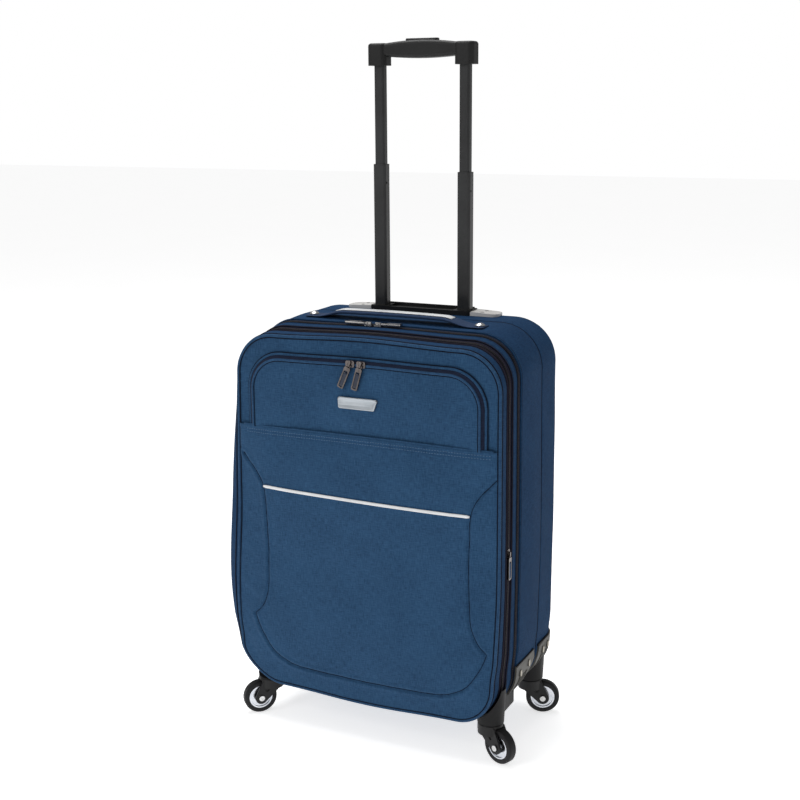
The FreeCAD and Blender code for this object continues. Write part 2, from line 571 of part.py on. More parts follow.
def make_sliders():
    upright = FreeCAD.Rotation()
    # local X, Y, Z become Z, -Y, X on the right side, and X, Z, -Y on the front
    side_face = FreeCAD.Rotation(Z_AXIS, -Y_AXIS, X_AXIS, "ZXY")
    front_face = FreeCAD.Rotation(X_AXIS, Z_AXIS, -Y_AXIS, "ZXY")
    zip_top = BODY_HIGH - TAPE_INSET
    pocket_z = POCKET_TOP - 2.0
    pocket_y = Y_FRONT - POCKET_ZIP_DEEP - 0.4
    places = (
        ("main_left", Vector(-20.0, Y_MAIN_ZIP, zip_top), upright, 0.0),
        ("main_right", Vector(-7.0, Y_MAIN_ZIP, zip_top), upright, 180.0),
        ("expander", Vector(COVER_HALF, Y_EXPAND_ZIP, 274.0), side_face, 0.0),
        ("pocket_left", Vector(-14.0, pocket_y, pocket_z), front_face, 66.0),
        ("pocket_right", Vector(1.0, pocket_y, pocket_z), front_face, 74.0),
    )
    for name, origin, rotation, turn in places:
        for prefix, shape in zip(("slider_", "pull_"), slider_and_pull(turn)):
            shape.Placement = FreeCAD.Placement(origin, rotation).multiply(shape.Placement)
            export(prefix + name, shape)


os.makedirs("parts", exist_ok=True)
make_case()
make_outer_tubes()
export("base_screws", *make_handle_base())
make_housings(make_guards())
make_carry_handle()
make_cover()
make_pockets()
make_grip()
make_telescopic_tubes()
for caster in CASTERS:
    make_caster(*caster)
make_sliders()
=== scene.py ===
import json
from contextlib import contextmanager
from math import cos, pi, radians, sin

import bmesh
import bpy
import numpy as np
from mathutils import Matrix, Vector, noise


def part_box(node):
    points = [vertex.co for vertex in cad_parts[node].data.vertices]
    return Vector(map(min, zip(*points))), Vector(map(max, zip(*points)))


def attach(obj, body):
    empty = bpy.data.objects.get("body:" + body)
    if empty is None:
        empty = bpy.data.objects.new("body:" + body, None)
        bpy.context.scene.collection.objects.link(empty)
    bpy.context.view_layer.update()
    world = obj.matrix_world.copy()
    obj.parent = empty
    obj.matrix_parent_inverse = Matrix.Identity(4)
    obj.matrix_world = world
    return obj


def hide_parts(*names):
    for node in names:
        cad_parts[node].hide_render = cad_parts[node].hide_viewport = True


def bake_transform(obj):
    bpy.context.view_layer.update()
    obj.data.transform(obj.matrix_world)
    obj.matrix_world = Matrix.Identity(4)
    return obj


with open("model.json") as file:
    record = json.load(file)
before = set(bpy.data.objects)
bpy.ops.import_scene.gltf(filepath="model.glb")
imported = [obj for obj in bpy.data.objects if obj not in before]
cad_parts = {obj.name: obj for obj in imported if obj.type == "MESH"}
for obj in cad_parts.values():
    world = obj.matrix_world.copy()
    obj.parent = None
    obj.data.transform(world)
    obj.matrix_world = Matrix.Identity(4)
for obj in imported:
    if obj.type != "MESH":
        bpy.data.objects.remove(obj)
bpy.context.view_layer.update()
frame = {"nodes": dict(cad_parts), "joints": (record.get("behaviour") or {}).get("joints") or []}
NODES = frame["nodes"]
scene = bpy.context.scene
MM = 0.001

# ---------------------------------------------------------------- places, read from the frame
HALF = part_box("rear_shell")[1].x
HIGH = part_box("rear_shell")[1].z
Y_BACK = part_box("rear_shell")[1].y
Y_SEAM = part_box("rear_shell")[0].y
Y_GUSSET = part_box("body_gusset")[0].y
Y_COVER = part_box("cover_gusset")[1].y
Y_MAIN = (Y_GUSSET + Y_COVER) / 2
Y_EXPAND_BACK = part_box("expander_rear_tape")[1].y
Y_EXPAND_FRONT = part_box("front_gusset")[1].y
Y_EXPAND = (Y_EXPAND_BACK + Y_EXPAND_FRONT) / 2
Y_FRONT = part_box("front_board")[0].y
WELT_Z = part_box("upper_pocket")[0].z

CORNER_STEPS = 16
LONG_STEPS = 56
SHORT_STEPS = 44
SIDE_COUNT = LONG_STEPS + CORNER_STEPS
TOP_COUNT = SHORT_STEPS + CORNER_STEPS


# ---------------------------------------------------------------- outline of the case at any depth
def section(y):
    """Half width, lowest and highest level, corner radius, bulges of the sides, narrowing of the foot."""
    depths = (Y_FRONT, Y_COVER, Y_GUSSET, 0.01, Y_BACK)

    def at(*values):
        return float(np.interp(y, depths, np.array(values) * MM))

    half = at(178.0, 178.8, 180.0, 180.2, 180.2)
    low = at(53.5, 52.5, 52.2, 52.0, 52.0)
    high = at(527.3, 535.2, 538.4, 540.0, 540.0)
    radius = at(50.0, 52.0, 55.0, 55.0, 55.0)
    side_bow = at(0.5, 0.8, 1.0, 2.4, 1.2)
    top_bow = at(3.7, 1.9, 1.5, 0.0, 0.0)
    low_bow = at(4.0, 2.5, 1.5, 0.0, 0.0)
    narrowing = at(33.0, 6.0, 0.0, 0.0, 0.0)
    return half, low, high, radius, (side_bow, top_bow, side_bow, low_bow), narrowing


def smooth_step(value, start, end):
    t = np.clip((value - start) / (end - start), 0, 1)
    return t * t * (3 - 2 * t)


GUARD_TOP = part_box("corner_guard_front_left")[1].z
BULGE_DEPTHS = np.array((-95, -90, -84, -81, -78, -74, -70, -62, -54, -46, -40, -34, 10)) * MM
BULGE = np.array((4.0, 14.0, 23.0, 26.0, 27.0, 26.0, 24.0, 19.5, 12.0, 5.0, 3.0, 2.5, 0)) * MM
FOOT_BULGE = 8.0 * MM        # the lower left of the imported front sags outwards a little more


def left_bulge(y, flat):
    """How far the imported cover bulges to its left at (x, z) points; it stays clear of guard and caster."""
    u = np.clip((flat[:, 1] - 0.062) / 0.438, 0, 1)
    rise = np.maximum(np.sin(pi * u ** 0.78), 0) ** 0.75
    above_guard = smooth_step(flat[:, 1], GUARD_TOP, GUARD_TOP + 60 * MM)
    clear = 1 - smooth_step(y, Y_EXPAND_BACK, Y_MAIN) * (1 - above_guard)
    foot = smooth_step(flat[:, 1], 0.060, 0.100) * (1 - smooth_step(flat[:, 1], 0.160, 0.320))
    foot *= FOOT_BULGE * (1 - smooth_step(y, Y_EXPAND_BACK, Y_MAIN))
    return (np.interp(y, BULGE_DEPTHS, BULGE) * rise * clear + foot) * smooth_step(-flat[:, 0], 0.10, 0.17)


def loop_at(y, inset=0.0):
    """Closed outline at depth y, drawn in by inset, from the middle of the lower right corner upwards."""
    half, low, high, radius, bows, narrowing = section(y)
    half, low, high, radius = half - inset, low + inset, high - inset, radius - inset
    centres = np.array([(half - radius, low + radius), (half - radius, high - radius),
                        (radius - half, high - radius), (radius - half, low + radius)])
    points = []
    for k in range(4):
        turn = np.radians(90 * (k - 1) + np.linspace(0, 90, CORNER_STEPS, endpoint=False))
        points.append(centres[k] + radius * np.stack([np.cos(turn), np.sin(turn)], 1))
        steps = SHORT_STEPS if k % 2 else LONG_STEPS
        u = np.linspace(0, 1, steps, endpoint=False)[:, None]
        outward = np.array([cos(pi / 2 * k), sin(pi / 2 * k)])
        run = centres[k] + (centres[(k + 1) % 4] - centres[k]) * u
        points.append(run + outward * (radius + bows[k] * np.sin(pi * u) ** 2))
    flat = np.roll(np.vstack(points), -CORNER_STEPS // 2, axis=0)
    on_right = smooth_step(flat[:, 0], 0.0, 0.12)
    flat[:, 0] *= 1 - narrowing * on_right * (1 - smooth_step(flat[:, 1], low + 0.01, low + 0.19))
    flat[:, 0] *= 1 + 0.0135 * smooth_step(flat[:, 1], GUARD_TOP - 4 * MM, GUARD_TOP + 30 * MM)
    flat[:, 0] -= left_bulge(y, flat)
    return np.stack([flat[:, 0], np.full(len(flat), y), flat[:, 1]], 1)


def outward_of(path):
    """Unit vectors that point out of a closed outline that runs anticlockwise seen from the front."""
    along = np.roll(path, -1, axis=0) - np.roll(path, 1, axis=0)
    out = np.stack([along[:, 2], np.zeros(len(path)), -along[:, 0]], 1)
    return out / np.linalg.norm(out, axis=1)[:, None]


# ---------------------------------------------------------------- mesh helpers
def make_object(name, points, faces, cloth=None):
    """A smooth mesh object. cloth holds the threads' own coordinates in metres, for the weave."""
    mesh = bpy.data.meshes.new(name)
    mesh.from_pydata([tuple(p) for p in points], [], faces)
    if cloth is not None:
        attribute = mesh.attributes.new("cloth", "FLOAT_VECTOR", "POINT")
        attribute.data.foreach_set("vector", np.asarray(cloth, np.float32).ravel())
    mesh.polygons.foreach_set("use_smooth", [True] * len(mesh.polygons))
    mesh.update()
    obj = bpy.data.objects.new(name, mesh)
    scene.collection.objects.link(obj)
    return obj


def grid_faces(rows, columns, wrap=False, flip=False, start=0, closed=False):
    """Quads of a grid; wrap joins the last column to the first, closed the last row to the first."""
    faces = []
    for i in range(rows if closed else rows - 1):
        this, other = start + i * columns, start + (i + 1) % rows * columns
        for j in range(columns if wrap else columns - 1):
            k = (j + 1) % columns
            quad = (this + j, other + j, other + k, this + k)
            faces.append(quad[::-1] if flip else quad)
    return faces


def end_caps(rows, columns, start=0):
    """The first and the last row of a wrapped grid as two faces."""
    last = start + (rows - 1) * columns
    return [tuple(range(start, start + columns)), tuple(range(last, last + columns))[::-1]]


def lengths(points, axis):
    """Distance run along one axis of a grid of points."""
    steps = np.linalg.norm(np.diff(points, axis=axis), axis=2)
    return np.concatenate([np.zeros_like(steps.take([0], axis=axis)), np.cumsum(steps, axis=axis)], axis=axis)


def cloth_coordinates(grid):
    along, across = lengths(grid, 1), lengths(grid, 0)
    across = np.repeat(np.median(across, axis=1)[:, None], grid.shape[1], axis=1)
    return np.stack([along, across, np.zeros_like(along)], 2).reshape(-1, 3)


def loft(name, rings):
    """Skin over closed outlines, given from the front to the back, with its normals outwards."""
    rings = np.asarray(rings, float)
    faces = grid_faces(*rings.shape[:2], wrap=True)
    return make_object(name, rings.reshape(-1, 3), faces, cloth_coordinates(rings))


def fill_sides(right, top, left, bottom):
    """Grid of points between four sides: right and left run upwards, top and bottom from right to left."""
    v = np.linspace(0, 1, len(right))[:, None, None]
    u = np.linspace(0, 1, len(top))[None, :, None]
    across = (1 - u) * right[:, None] + u * left[:, None]
    upright = (1 - v) * bottom[None] + v * top[None]
    corners = (1 - v) * ((1 - u) * right[0] + u * left[0]) + v * ((1 - u) * right[-1] + u * left[-1])
    return across + upright - corners


def four_sides(loop):
    """Right, top, left and bottom of an outline from loop_at, in the directions that fill_sides takes."""
    closed = np.vstack([loop, loop[:1]])
    corner = SIDE_COUNT + TOP_COUNT
    right, top = closed[:SIDE_COUNT + 1], closed[SIDE_COUNT:corner + 1]
    return right, top, closed[corner:corner + SIDE_COUNT + 1][::-1], closed[corner + SIDE_COUNT:][::-1]


def panel(name, grid, facing_back=False):
    """Open sheet over a grid of points from fill_sides; its threads follow X and Z."""
    rows, columns, _ = grid.shape
    points = grid.reshape(-1, 3)
    cloth = np.stack([points[:, 0], points[:, 2], np.zeros(len(points))], 1)
    return make_object(name, points, grid_faces(rows, columns, flip=facing_back), cloth)


def apply_modifiers(obj):
    """Replaces the mesh by what its modifiers make of it."""
    graph = bpy.context.evaluated_depsgraph_get()
    final = obj.evaluated_get(graph)
    made = bpy.data.meshes.new_from_object(final, preserve_all_data_layers=True, depsgraph=graph)
    obj.modifiers.clear()
    old = obj.data
    obj.data = made
    bpy.data.meshes.remove(old)
    return obj


def thicken(obj, thickness, shift=-1.0):
    """Gives a sheet its thickness, with the lining as the second material on its inner face."""
    modifier = obj.modifiers.new("thick", "SOLIDIFY")
    modifier.thickness = thickness
    modifier.offset = shift
    modifier.use_even_offset = True
    modifier.material_offset = 1 if len(obj.data.materials) > 1 else 0
    return apply_modifiers(obj)


def subdivide(obj, levels):
    modifier = obj.modifiers.new("finer", "SUBSURF")
    modifier.levels = modifier.render_levels = levels
    modifier.boundary_smooth = "PRESERVE_CORNERS"
    return apply_modifiers(obj)


def get_points(obj):
    points = np.zeros(len(obj.data.vertices) * 3)
    obj.data.vertices.foreach_get("co", points)
    return points.reshape(-1, 3)


def set_points(obj, points):
    obj.data.vertices.foreach_set("co", np.asarray(points, np.float32).ravel())
    obj.data.update()


@contextmanager
def editing(obj):
    """Opens the object's mesh for bmesh operators, and writes it back."""
    edited = bmesh.new()
    edited.from_mesh(obj.data)
    yield edited
    edited.to_mesh(obj.data)
    edited.free()


def weld(target, other):
    """Joins the other object into the target and merges the points where they meet."""
    with editing(target) as merged:
        merged.from_mesh(other.data)
        bmesh.ops.remove_doubles(merged, verts=merged.verts, dist=1e-5)
    bpy.data.objects.remove(other)


def sweep(name, path, up, profile, closed=False, swell=None):
    """Solid with a closed profile (side, up) carried along a path; up is one vector, or one per point."""
    path = np.asarray(path, float)
    count = len(path)
    up = np.broadcast_to(np.asarray(up, float), path.shape)
    if closed:
        along = np.roll(path, -1, axis=0) - np.roll(path, 1, axis=0)
    else:
        along = np.gradient(path, axis=0)
    along /= np.linalg.norm(along, axis=1)[:, None]
    side = np.cross(along, up)
    side /= np.linalg.norm(side, axis=1)[:, None]
    up = np.cross(side, along)
    profile = np.asarray(profile, float)
    if swell is None:
        swell = np.ones(count)
    offsets = profile[None] * np.asarray(swell)[:, None, None]
    grid = path[:, None] + side[:, None] * offsets[:, :, :1] + up[:, None] * offsets[:, :, 1:]
    faces = grid_faces(count, len(profile), wrap=True, closed=closed)
    if not closed:
        faces += end_caps(count, len(profile))
    obj = make_object(name, grid.reshape(-1, 3), faces, cloth_coordinates(grid)[:, (1, 0, 2)])
    outwards(obj)
    return obj


def outwards(obj):
    """Turns the faces of a closed solid outwards."""
    with editing(obj) as solid:
        bmesh.ops.recalc_face_normals(solid, faces=solid.faces)


def round_profile(radius, steps=10, flat=1.0):
    turn = np.linspace(0, 2 * pi, steps, endpoint=False)
    return np.stack([radius * np.cos(turn), radius * flat * np.sin(turn)], 1)


def strip_profile(width, height, corner):
    """Rounded rectangle, width along the side direction and height along up."""
    points = []
    for k, (sx, sy) in enumerate(((1, 1), (-1, 1), (-1, -1), (1, -1))):
        for turn in np.radians(90 * k + np.linspace(0, 90, 4)):
            side, up = sx * (width / 2 - corner), sy * (height / 2 - corner)
            points.append((side + corner * cos(turn), up + corner * sin(turn)))
    return points


def run_along(path):
    return np.concatenate([[0], np.cumsum(np.linalg.norm(np.diff(path, axis=0), axis=1))])


def resample_to(path, count):
    """The same polyline with count points, evenly spaced."""
    run = run_along(path)
    at = np.linspace(0, run[-1], count)
    return np.stack([np.interp(at, run, values) for values in path.T], 1)


def resample(path, step, closed=False):
    """The same polyline with even steps."""
    if closed:
        path = np.vstack([path, path[:1]])
    even = resample_to(path, max(2, int(round(run_along(path)[-1] / step))) + 1)
    return even[:-1] if closed else even


def curve_through(points, steps=12):
    """Smooth curve through a few points."""
    points = np.asarray(points, float)
    ends = np.vstack([2 * points[0] - points[1], points, 2 * points[-1] - points[-2]])
    made = []
    for a, b, c, d in zip(ends, ends[1:], ends[2:], ends[3:]):
        for t in np.linspace(0, 1, steps, endpoint=False):
            square, cube = 2 * a - 5 * b + 4 * c - d, 3 * b - a - 3 * c + d
            made.append(0.5 * (2 * b + (c - a) * t + square * t ** 2 + cube * t ** 3))
    return np.vstack([made, points[-1:]])


def distance_to(points, path):
    """Distance of (x, z) points to a polyline, and on which side of it they lie: 1 is to its left."""
    start, end = path[:-1], path[1:]
    best = np.full(len(points), 1e9)
    side = np.ones(len(points))
    for a, b in zip(start, end):
        run = b - a
        t = np.clip(((points - a) @ run) / (run @ run), 0, 1)
        gap = points - a - t[:, None] * run
        away = np.hypot(gap[:, 0], gap[:, 1])
        nearer = away < best
        best[nearer] = away[nearer]
        side[nearer] = np.sign(run[0] * gap[:, 1] - run[1] * gap[:, 0])[nearer]
    return best, side


def ripple(points, size, seed):
    """Smooth noise between about -1 and 1 at points, with waves of the given size."""
    return np.array([noise.noise(Vector(p) / size + Vector((seed, 0, 0))) for p in points])


CLOTH_FRAMES = 20


def puff(obj, crown, shrink=-0.006):
    """Cloth simulation of a sheet held along its border and filled from behind; crown is its highest rise."""
    start = get_points(obj)
    border = set()
    edge_use = {}
    for polygon in obj.data.polygons:
        for key in polygon.edge_keys:
            edge_use[key] = edge_use.get(key, 0) + 1
    for key, uses in edge_use.items():
        if uses == 1:
            border.update(key)
    pins = obj.vertex_groups.new(name="pins")
    pins.add(sorted(border), 1.0, "REPLACE")
    cloth = obj.modifiers.new("cloth", "CLOTH")
    wanted = dict(quality=6, mass=0.3, tension_stiffness=12, compression_stiffness=12, bending_stiffness=6,
                  shrink_min=shrink, vertex_group_mass="pins", use_pressure=True, uniform_pressure_force=4.0)
    for key, value in wanted.items():
        setattr(cloth.settings, key, value)
    cloth.settings.effector_weights.gravity = 0.0
    scene.frame_start, scene.frame_end = 1, CLOTH_FRAMES
    for step in range(1, CLOTH_FRAMES + 1):
        scene.frame_set(step)
    apply_modifiers(obj)
    scene.frame_set(1)
    obj.vertex_groups.clear()
    moved = get_points(obj) - start
    set_points(obj, start + moved * (crown / max(float(-moved[:, 1].min()), 1e-6)))
    return obj


# ---------------------------------------------------------------- materials
class Shader:
    """Node material with a short way to add and join nodes."""

    def __init__(self, name, roughness, metallic=0.0):
        self.material = bpy.data.materials.new(name)
        self.material.use_nodes = True
        self.nodes = self.material.node_tree.nodes
        self.links = self.material.node_tree.links
        self.principled = self.nodes["Principled BSDF"]
        self.set("Roughness", roughness)
        self.set("Metallic", metallic)

    def set(self, socket, value):
        self.principled.inputs[socket].default_value = value

    def add(self, kind, inputs=None, **settings):
        node = self.nodes.new("ShaderNode" + kind)
        for key, value in settings.items():
            setattr(node, key, value)
        for key, value in (inputs or {}).items():
            if isinstance(value, bpy.types.NodeSocket):
                self.links.new(value, node.inputs[key])
            else:
                node.inputs[key].default_value = value
        return node.outputs

    def join(self, output, socket):
        self.links.new(output, self.principled.inputs[socket])

    def math(self, operation, a, b=0.0):
        return self.add("Math", {0: a, 1: b}, operation=operation)[0]

    def part(self, value, share):
        return self.math("MULTIPLY", value, share)

    def wave(self, value, turns):
        return self.math("SINE", self.part(value, turns))

    def total(self, a, b):
        return self.math("ADD", a, b)

    def ramp(self, factor, *stops):
        outputs = self.add("ValToRGB", {"Fac": factor})
        elements = outputs[0].node.color_ramp.elements
        while len(elements) < len(stops):
            elements.new(0.5)
        for element, (place, colour) in zip(elements, stops):
            element.position = place
            element.color = (*colour, 1)
        return outputs[0]

    def noise(self, vector, scale, detail=2.0):
        return self.add("TexNoise", {"Vector": vector, "Scale": scale, "Detail": detail})[0]

    def stretched(self, vector, x, y, z=1.0):
        return self.add("VectorMath", {0: vector, 1: (x, y, z)}, operation="MULTIPLY")[0]

    def bump(self, height, distance, strength):
        inputs = {"Height": height, "Distance": distance, "Strength": strength}
        self.join(self.add("Bump", inputs)[0], "Normal")

    def wander(self, marks, roughness, span):
        """Roughness that follows the marks, up and down around its middle."""
        inputs = {0: marks, 1: span, 2: max(0.02, roughness - span / 2)}
        self.join(self.add("Math", inputs, operation="MULTIPLY_ADD")[0], "Roughness")

    def colour(self, tone, dark, light, start=0.3, end=0.7):
        self.join(self.ramp(tone, (start, dark), (end, light)), "Base Color")


def fabric(name, dark, light, thread=0.8 * MM, sheen=0.05, roughness=0.8, streak=0.5, specular=0.16):
    """Twill cloth: warp and weft threads, slubs along both, and a slow change of tone."""
    shader = Shader(name, roughness)
    place = shader.add("Attribute", attribute_name="cloth")["Vector"]
    parts = shader.add("SeparateXYZ", {0: place})
    turns = 2 * pi / thread
    across, upright = shader.wave(parts[0], turns), shader.wave(parts[1], turns)
    slant = shader.wave(shader.total(parts[0], parts[1]), turns / 2)
    weave = shader.total(shader.part(across, upright), slant)
    warp = shader.noise(shader.stretched(place, 1000, 110), 1.0, 3.0)
    weft = shader.noise(shader.stretched(place, 110, 1000), 1.0, 3.0)
    slow = shader.noise(place, 16.0, 2.0)
    slubs = shader.total(shader.part(warp, streak), shader.part(weft, streak))
    tone = shader.total(slubs, shader.part(slow, 0.2))
    tone = shader.total(tone, shader.part(weave, 0.05))
    tone = shader.math("SUBTRACT", tone, 0.1)
    shader.colour(tone, dark, light)
    height = shader.total(shader.part(weave, 0.4), slubs)
    shader.bump(height, 0.00018, 0.55)
    shader.set("Sheen Weight", sheen)
    shader.set("Sheen Roughness", 0.45)
    shader.set("Sheen Tint", (0.55, 0.7, 1.0, 1))
    shader.set("Specular IOR Level", specular)
    return shader.material


def zip_cloth(name, dark, light):
    """Narrow woven tape with ribs along its length."""
    shader = Shader(name, 0.8)
    shader.set("Specular IOR Level", 0.12)
    place = shader.add("Attribute", attribute_name="cloth")["Vector"]
    parts = shader.add("SeparateXYZ", {0: place})
    ribs, cross = shader.wave(parts[1], 2 * pi / (1.1 * MM)), shader.wave(parts[0], 2 * pi / (0.7 * MM))
    slubs = shader.noise(shader.stretched(place, 200, 1400), 1.0, 3.0)
    tone = shader.total(shader.part(ribs, 0.15), slubs)
    shader.colour(tone, dark, light, end=0.8)
    height = shader.total(ribs, shader.part(cross, 0.4))
    shader.bump(height, 0.00015, 0.7)
    shader.set("Sheen Weight", 0.06)
    shader.set("Sheen Tint", (0.6, 0.5, 0.8, 1))
    return shader.material


def moulded(name, dark, light, roughness=0.5, grain=900.0, depth=0.00006, coat=0.0, specular=0.3):
    """Moulded plastic or paint with a fine grain, cloudy tone and a few rubbed, shinier patches."""
    shader = Shader(name, roughness)
    place = shader.add("TexCoord")["Object"]
    cloud = shader.noise(place, 22.0, 3.0)
    speck = shader.noise(place, grain, 2.0)
    tone = shader.total(shader.part(cloud, 0.7), shader.part(speck, 0.3))
    shader.colour(tone, dark, light)
    rubbed = shader.noise(shader.stretched(place, 60, 60, 25), 1.0, 4.0)
    shader.wander(rubbed, roughness, 0.16)
    shader.bump(speck, depth, 0.6)
    shader.set("Coat Weight", coat)
    shader.set("Coat Roughness", 0.12)
    shader.set("Specular IOR Level", specular)
    return shader.material


def metal(name, dark, light, roughness=0.25, brush=(40, 40, 900)):
    """Metal with fine brush marks; brush stretches the marks along the smallest number."""
    shader = Shader(name, roughness, 1.0)
    place = shader.add("TexCoord")["Object"]
    marks = shader.noise(shader.stretched(place, *brush), 1.0, 4.0)
    cloud = shader.noise(place, 60.0, 2.0)
    tone = shader.total(shader.part(marks, 0.6), shader.part(cloud, 0.4))
    shader.colour(tone, dark, light)
    shader.wander(marks, roughness, 0.2)
    shader.bump(marks, 0.00003, 0.4)
    return shader.material


NAVY_DARK = (0.008, 0.034, 0.082)
NAVY_LIGHT = (0.028, 0.088, 0.185)
MATERIALS = {
    # shell: the case's own navy twill, painted about a third darker than the front's panel twill as painted
    # shade for the sides; it also covers the top and back
    "shell": fabric("shell_twill", (0.006, 0.023, 0.062), (0.019, 0.059, 0.135), sheen=0.0, specular=0.06),
    "dark": fabric("shaded_twill", (0.004, 0.007, 0.020), (0.012, 0.020, 0.048), sheen=0.05),
    "panel": fabric("panel_twill", NAVY_DARK, NAVY_LIGHT),
    "piping": fabric("piping_cloth", (0.009, 0.034, 0.082), (0.028, 0.084, 0.178), thread=1.0 * MM),
    "webbing": fabric("webbing", (0.012, 0.026, 0.062), (0.026, 0.052, 0.115), thread=1.6 * MM),
    "lining": fabric("lining_cloth", (0.020, 0.022, 0.028), (0.050, 0.052, 0.062), 1.2 * MM, sheen=0.15),
    "thread": fabric("sewing_thread", (0.05, 0.10, 0.19), (0.09, 0.17, 0.30), thread=0.5 * MM),
    # seam: dark cords laid into creases and beside piping, painted shadow where the fabric folds into its
    # seams
    "seam": fabric("seam_shadow", (0.001, 0.003, 0.010), (0.003, 0.007, 0.020), thread=0.6 * MM, sheen=0.0),
    "tape": zip_cloth("zip_tape_cloth", (0.0035, 0.003, 0.007), (0.012, 0.010, 0.022)),
    "coil": moulded("zip_coil_nylon", (0.0015, 0.0015, 0.004), (0.006, 0.005, 0.011), 0.5, specular=0.2),
    "trim": moulded("white_trim", (0.62, 0.63, 0.64), (0.80, 0.81, 0.82), 0.35, coat=0.2),
    "badge": metal("satin_badge", (0.30, 0.33, 0.36), (0.46, 0.49, 0.52), 0.42, (30, 30, 900)),
    "zip_metal": metal("gunmetal", (0.048, 0.043, 0.042), (0.17, 0.15, 0.145), 0.22, (300, 300, 60)),
    # black_tube: black paint, lifted lighter than its own colour as a painted highlight along the tubes
    "black_tube": moulded("black_tube_paint_and_highlight", (0.012, 0.012, 0.0125), (0.026, 0.027, 0.028), 0.40, 600,
                          0.00002, 0.15),
    "alloy": metal("drawn_aluminium", (0.45, 0.46, 0.47), (0.62, 0.63, 0.64), 0.3, (900, 900, 12)),
    "base": moulded("black_base", (0.003, 0.003, 0.003), (0.009, 0.009, 0.010), 0.42),
    "silver": moulded("silver_base", (0.55, 0.54, 0.52), (0.72, 0.71, 0.69), 0.36, coat=0.3),
    "screw": metal("bright_screws", (0.5, 0.5, 0.5), (0.75, 0.75, 0.75), 0.2, (300, 300, 300)),
    "guard": moulded("guard_plastic", (0.058, 0.056, 0.050), (0.098, 0.095, 0.086), 0.55, 700, 0.0001),
    "guard_edge": moulded("guard_edge_rubber", (0.006, 0.006, 0.006), (0.014, 0.014, 0.014), 0.6),
    # pad: light beige, a painted reflection where the guard's embossed windows catch the light
    "pad": moulded("guard_glint_pads", (0.42, 0.39, 0.32), (0.58, 0.54, 0.46), 0.5, 700, 0.00005),
    "housing": moulded("housing_plastic", (0.003, 0.003, 0.003), (0.009, 0.009, 0.010), 0.5, 700, 0.0001,
                       specular=0.2),
    "fork": moulded("fork_plastic", (0.003, 0.003, 0.0035), (0.010, 0.010, 0.011), 0.42, 700, 0.00008),
    "tyre": moulded("tyre_rubber", (0.004, 0.004, 0.005), (0.012, 0.012, 0.013), 0.6, 500, 0.0001),
    "chrome": metal("dark_chrome", (0.32, 0.31, 0.31), (0.62, 0.61, 0.60), 0.16, (300, 300, 60)),
    "rim": metal("rim_silver", (0.55, 0.57, 0.62), (0.80, 0.82, 0.86), 0.22, (200, 200, 200)),
    "grip": moulded("grip_plastic", (0.004, 0.004, 0.004), (0.011, 0.011, 0.011), 0.5, 900, 0.0001),
    "inset": moulded("pull_inset", (0.004, 0.008, 0.02), (0.010, 0.022, 0.055), 0.3, coat=0.3),
    "frame": moulded("frame_plastic", (0.012, 0.012, 0.012), (0.028, 0.028, 0.028), 0.55),
}


def dress(obj, look, inner=None):
    """Gives a new piece its material, and a second material for its inner face when inner is given."""
    obj.data.materials.append(MATERIALS[look])
    if inner:
        obj.data.materials.append(MATERIALS[inner])
    return obj


# ---------------------------------------------------------------- fabric of the case and the cover
SEAM_DIP = 0.7 * MM


def band(name, y_start, y_end, body, node, crown, thickness=3.0 * MM, rows=9):
    """Sleeve of padded fabric between two depths: its edges dip into their seams, and its middle bulges."""
    rings = []
    for t in np.linspace(0, 1, rows):
        arch = max(0.0, sin(pi * t))
        rings.append(loop_at(y_start + (y_end - y_start) * t, SEAM_DIP * (1 - arch ** 0.35) - crown * arch))
    return sew(loft(name, rings), "shell", thickness, body, node, inner="lining")


def sew(obj, look, thickness, body, *nodes, fill=None, inner=None):
    """Finishes a sheet of cloth: look, thickness, the body it rides and the nodes it stands for; fill, the
    filling, is not used.
    """
    thicken(dress(obj, look, inner), thickness)
    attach(obj, body)
    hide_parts(*nodes)
    return obj


def lay(name, path, up, profile, look, body, *nodes, **options):
    """Carries a profile along a path, and gives the strip its look, its body and the nodes it stands for."""
    obj = dress(sweep(name, path, up, profile, **options), look)
    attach(obj, body)
    if nodes:
        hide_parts(*nodes)
    return obj


def lay_ring(name, y, inset, radius, look, body, *nodes, steps=8):
    """Round cord all the way around the case at one depth."""
    line = loop_at(y, inset)
    return lay(name, line, outward_of(line), round_profile(radius, steps), look, body, *nodes, closed=True)


def soften(obj, size, height, seed):
    """Slow waves of filled fabric along the surface's own normals."""
    normals = np.zeros(len(obj.data.vertices) * 3)
    obj.data.vertices.foreach_get("normal", normals)
    points = get_points(obj)
    set_points(obj, points + normals.reshape(-1, 3) * (height * ripple(points, size, seed))[:, None])
    return obj


def open_for_tubes(shell):
    """Cuts the top of the shell where the tubes of the handle go in, under the handle's base."""
    low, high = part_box("handle_base")
    with editing(shell) as cut:
        inside = []
        for face in cut.faces:
            x, y, z = face.calc_center_median()
            if 46 * MM < abs(x) < 69.5 * MM and low.y + 3 * MM < y < high.y - 5 * MM and z > HIGH - 20 * MM:
                inside.append(face)
        bmesh.ops.delete(cut, geom=inside, context="FACES")


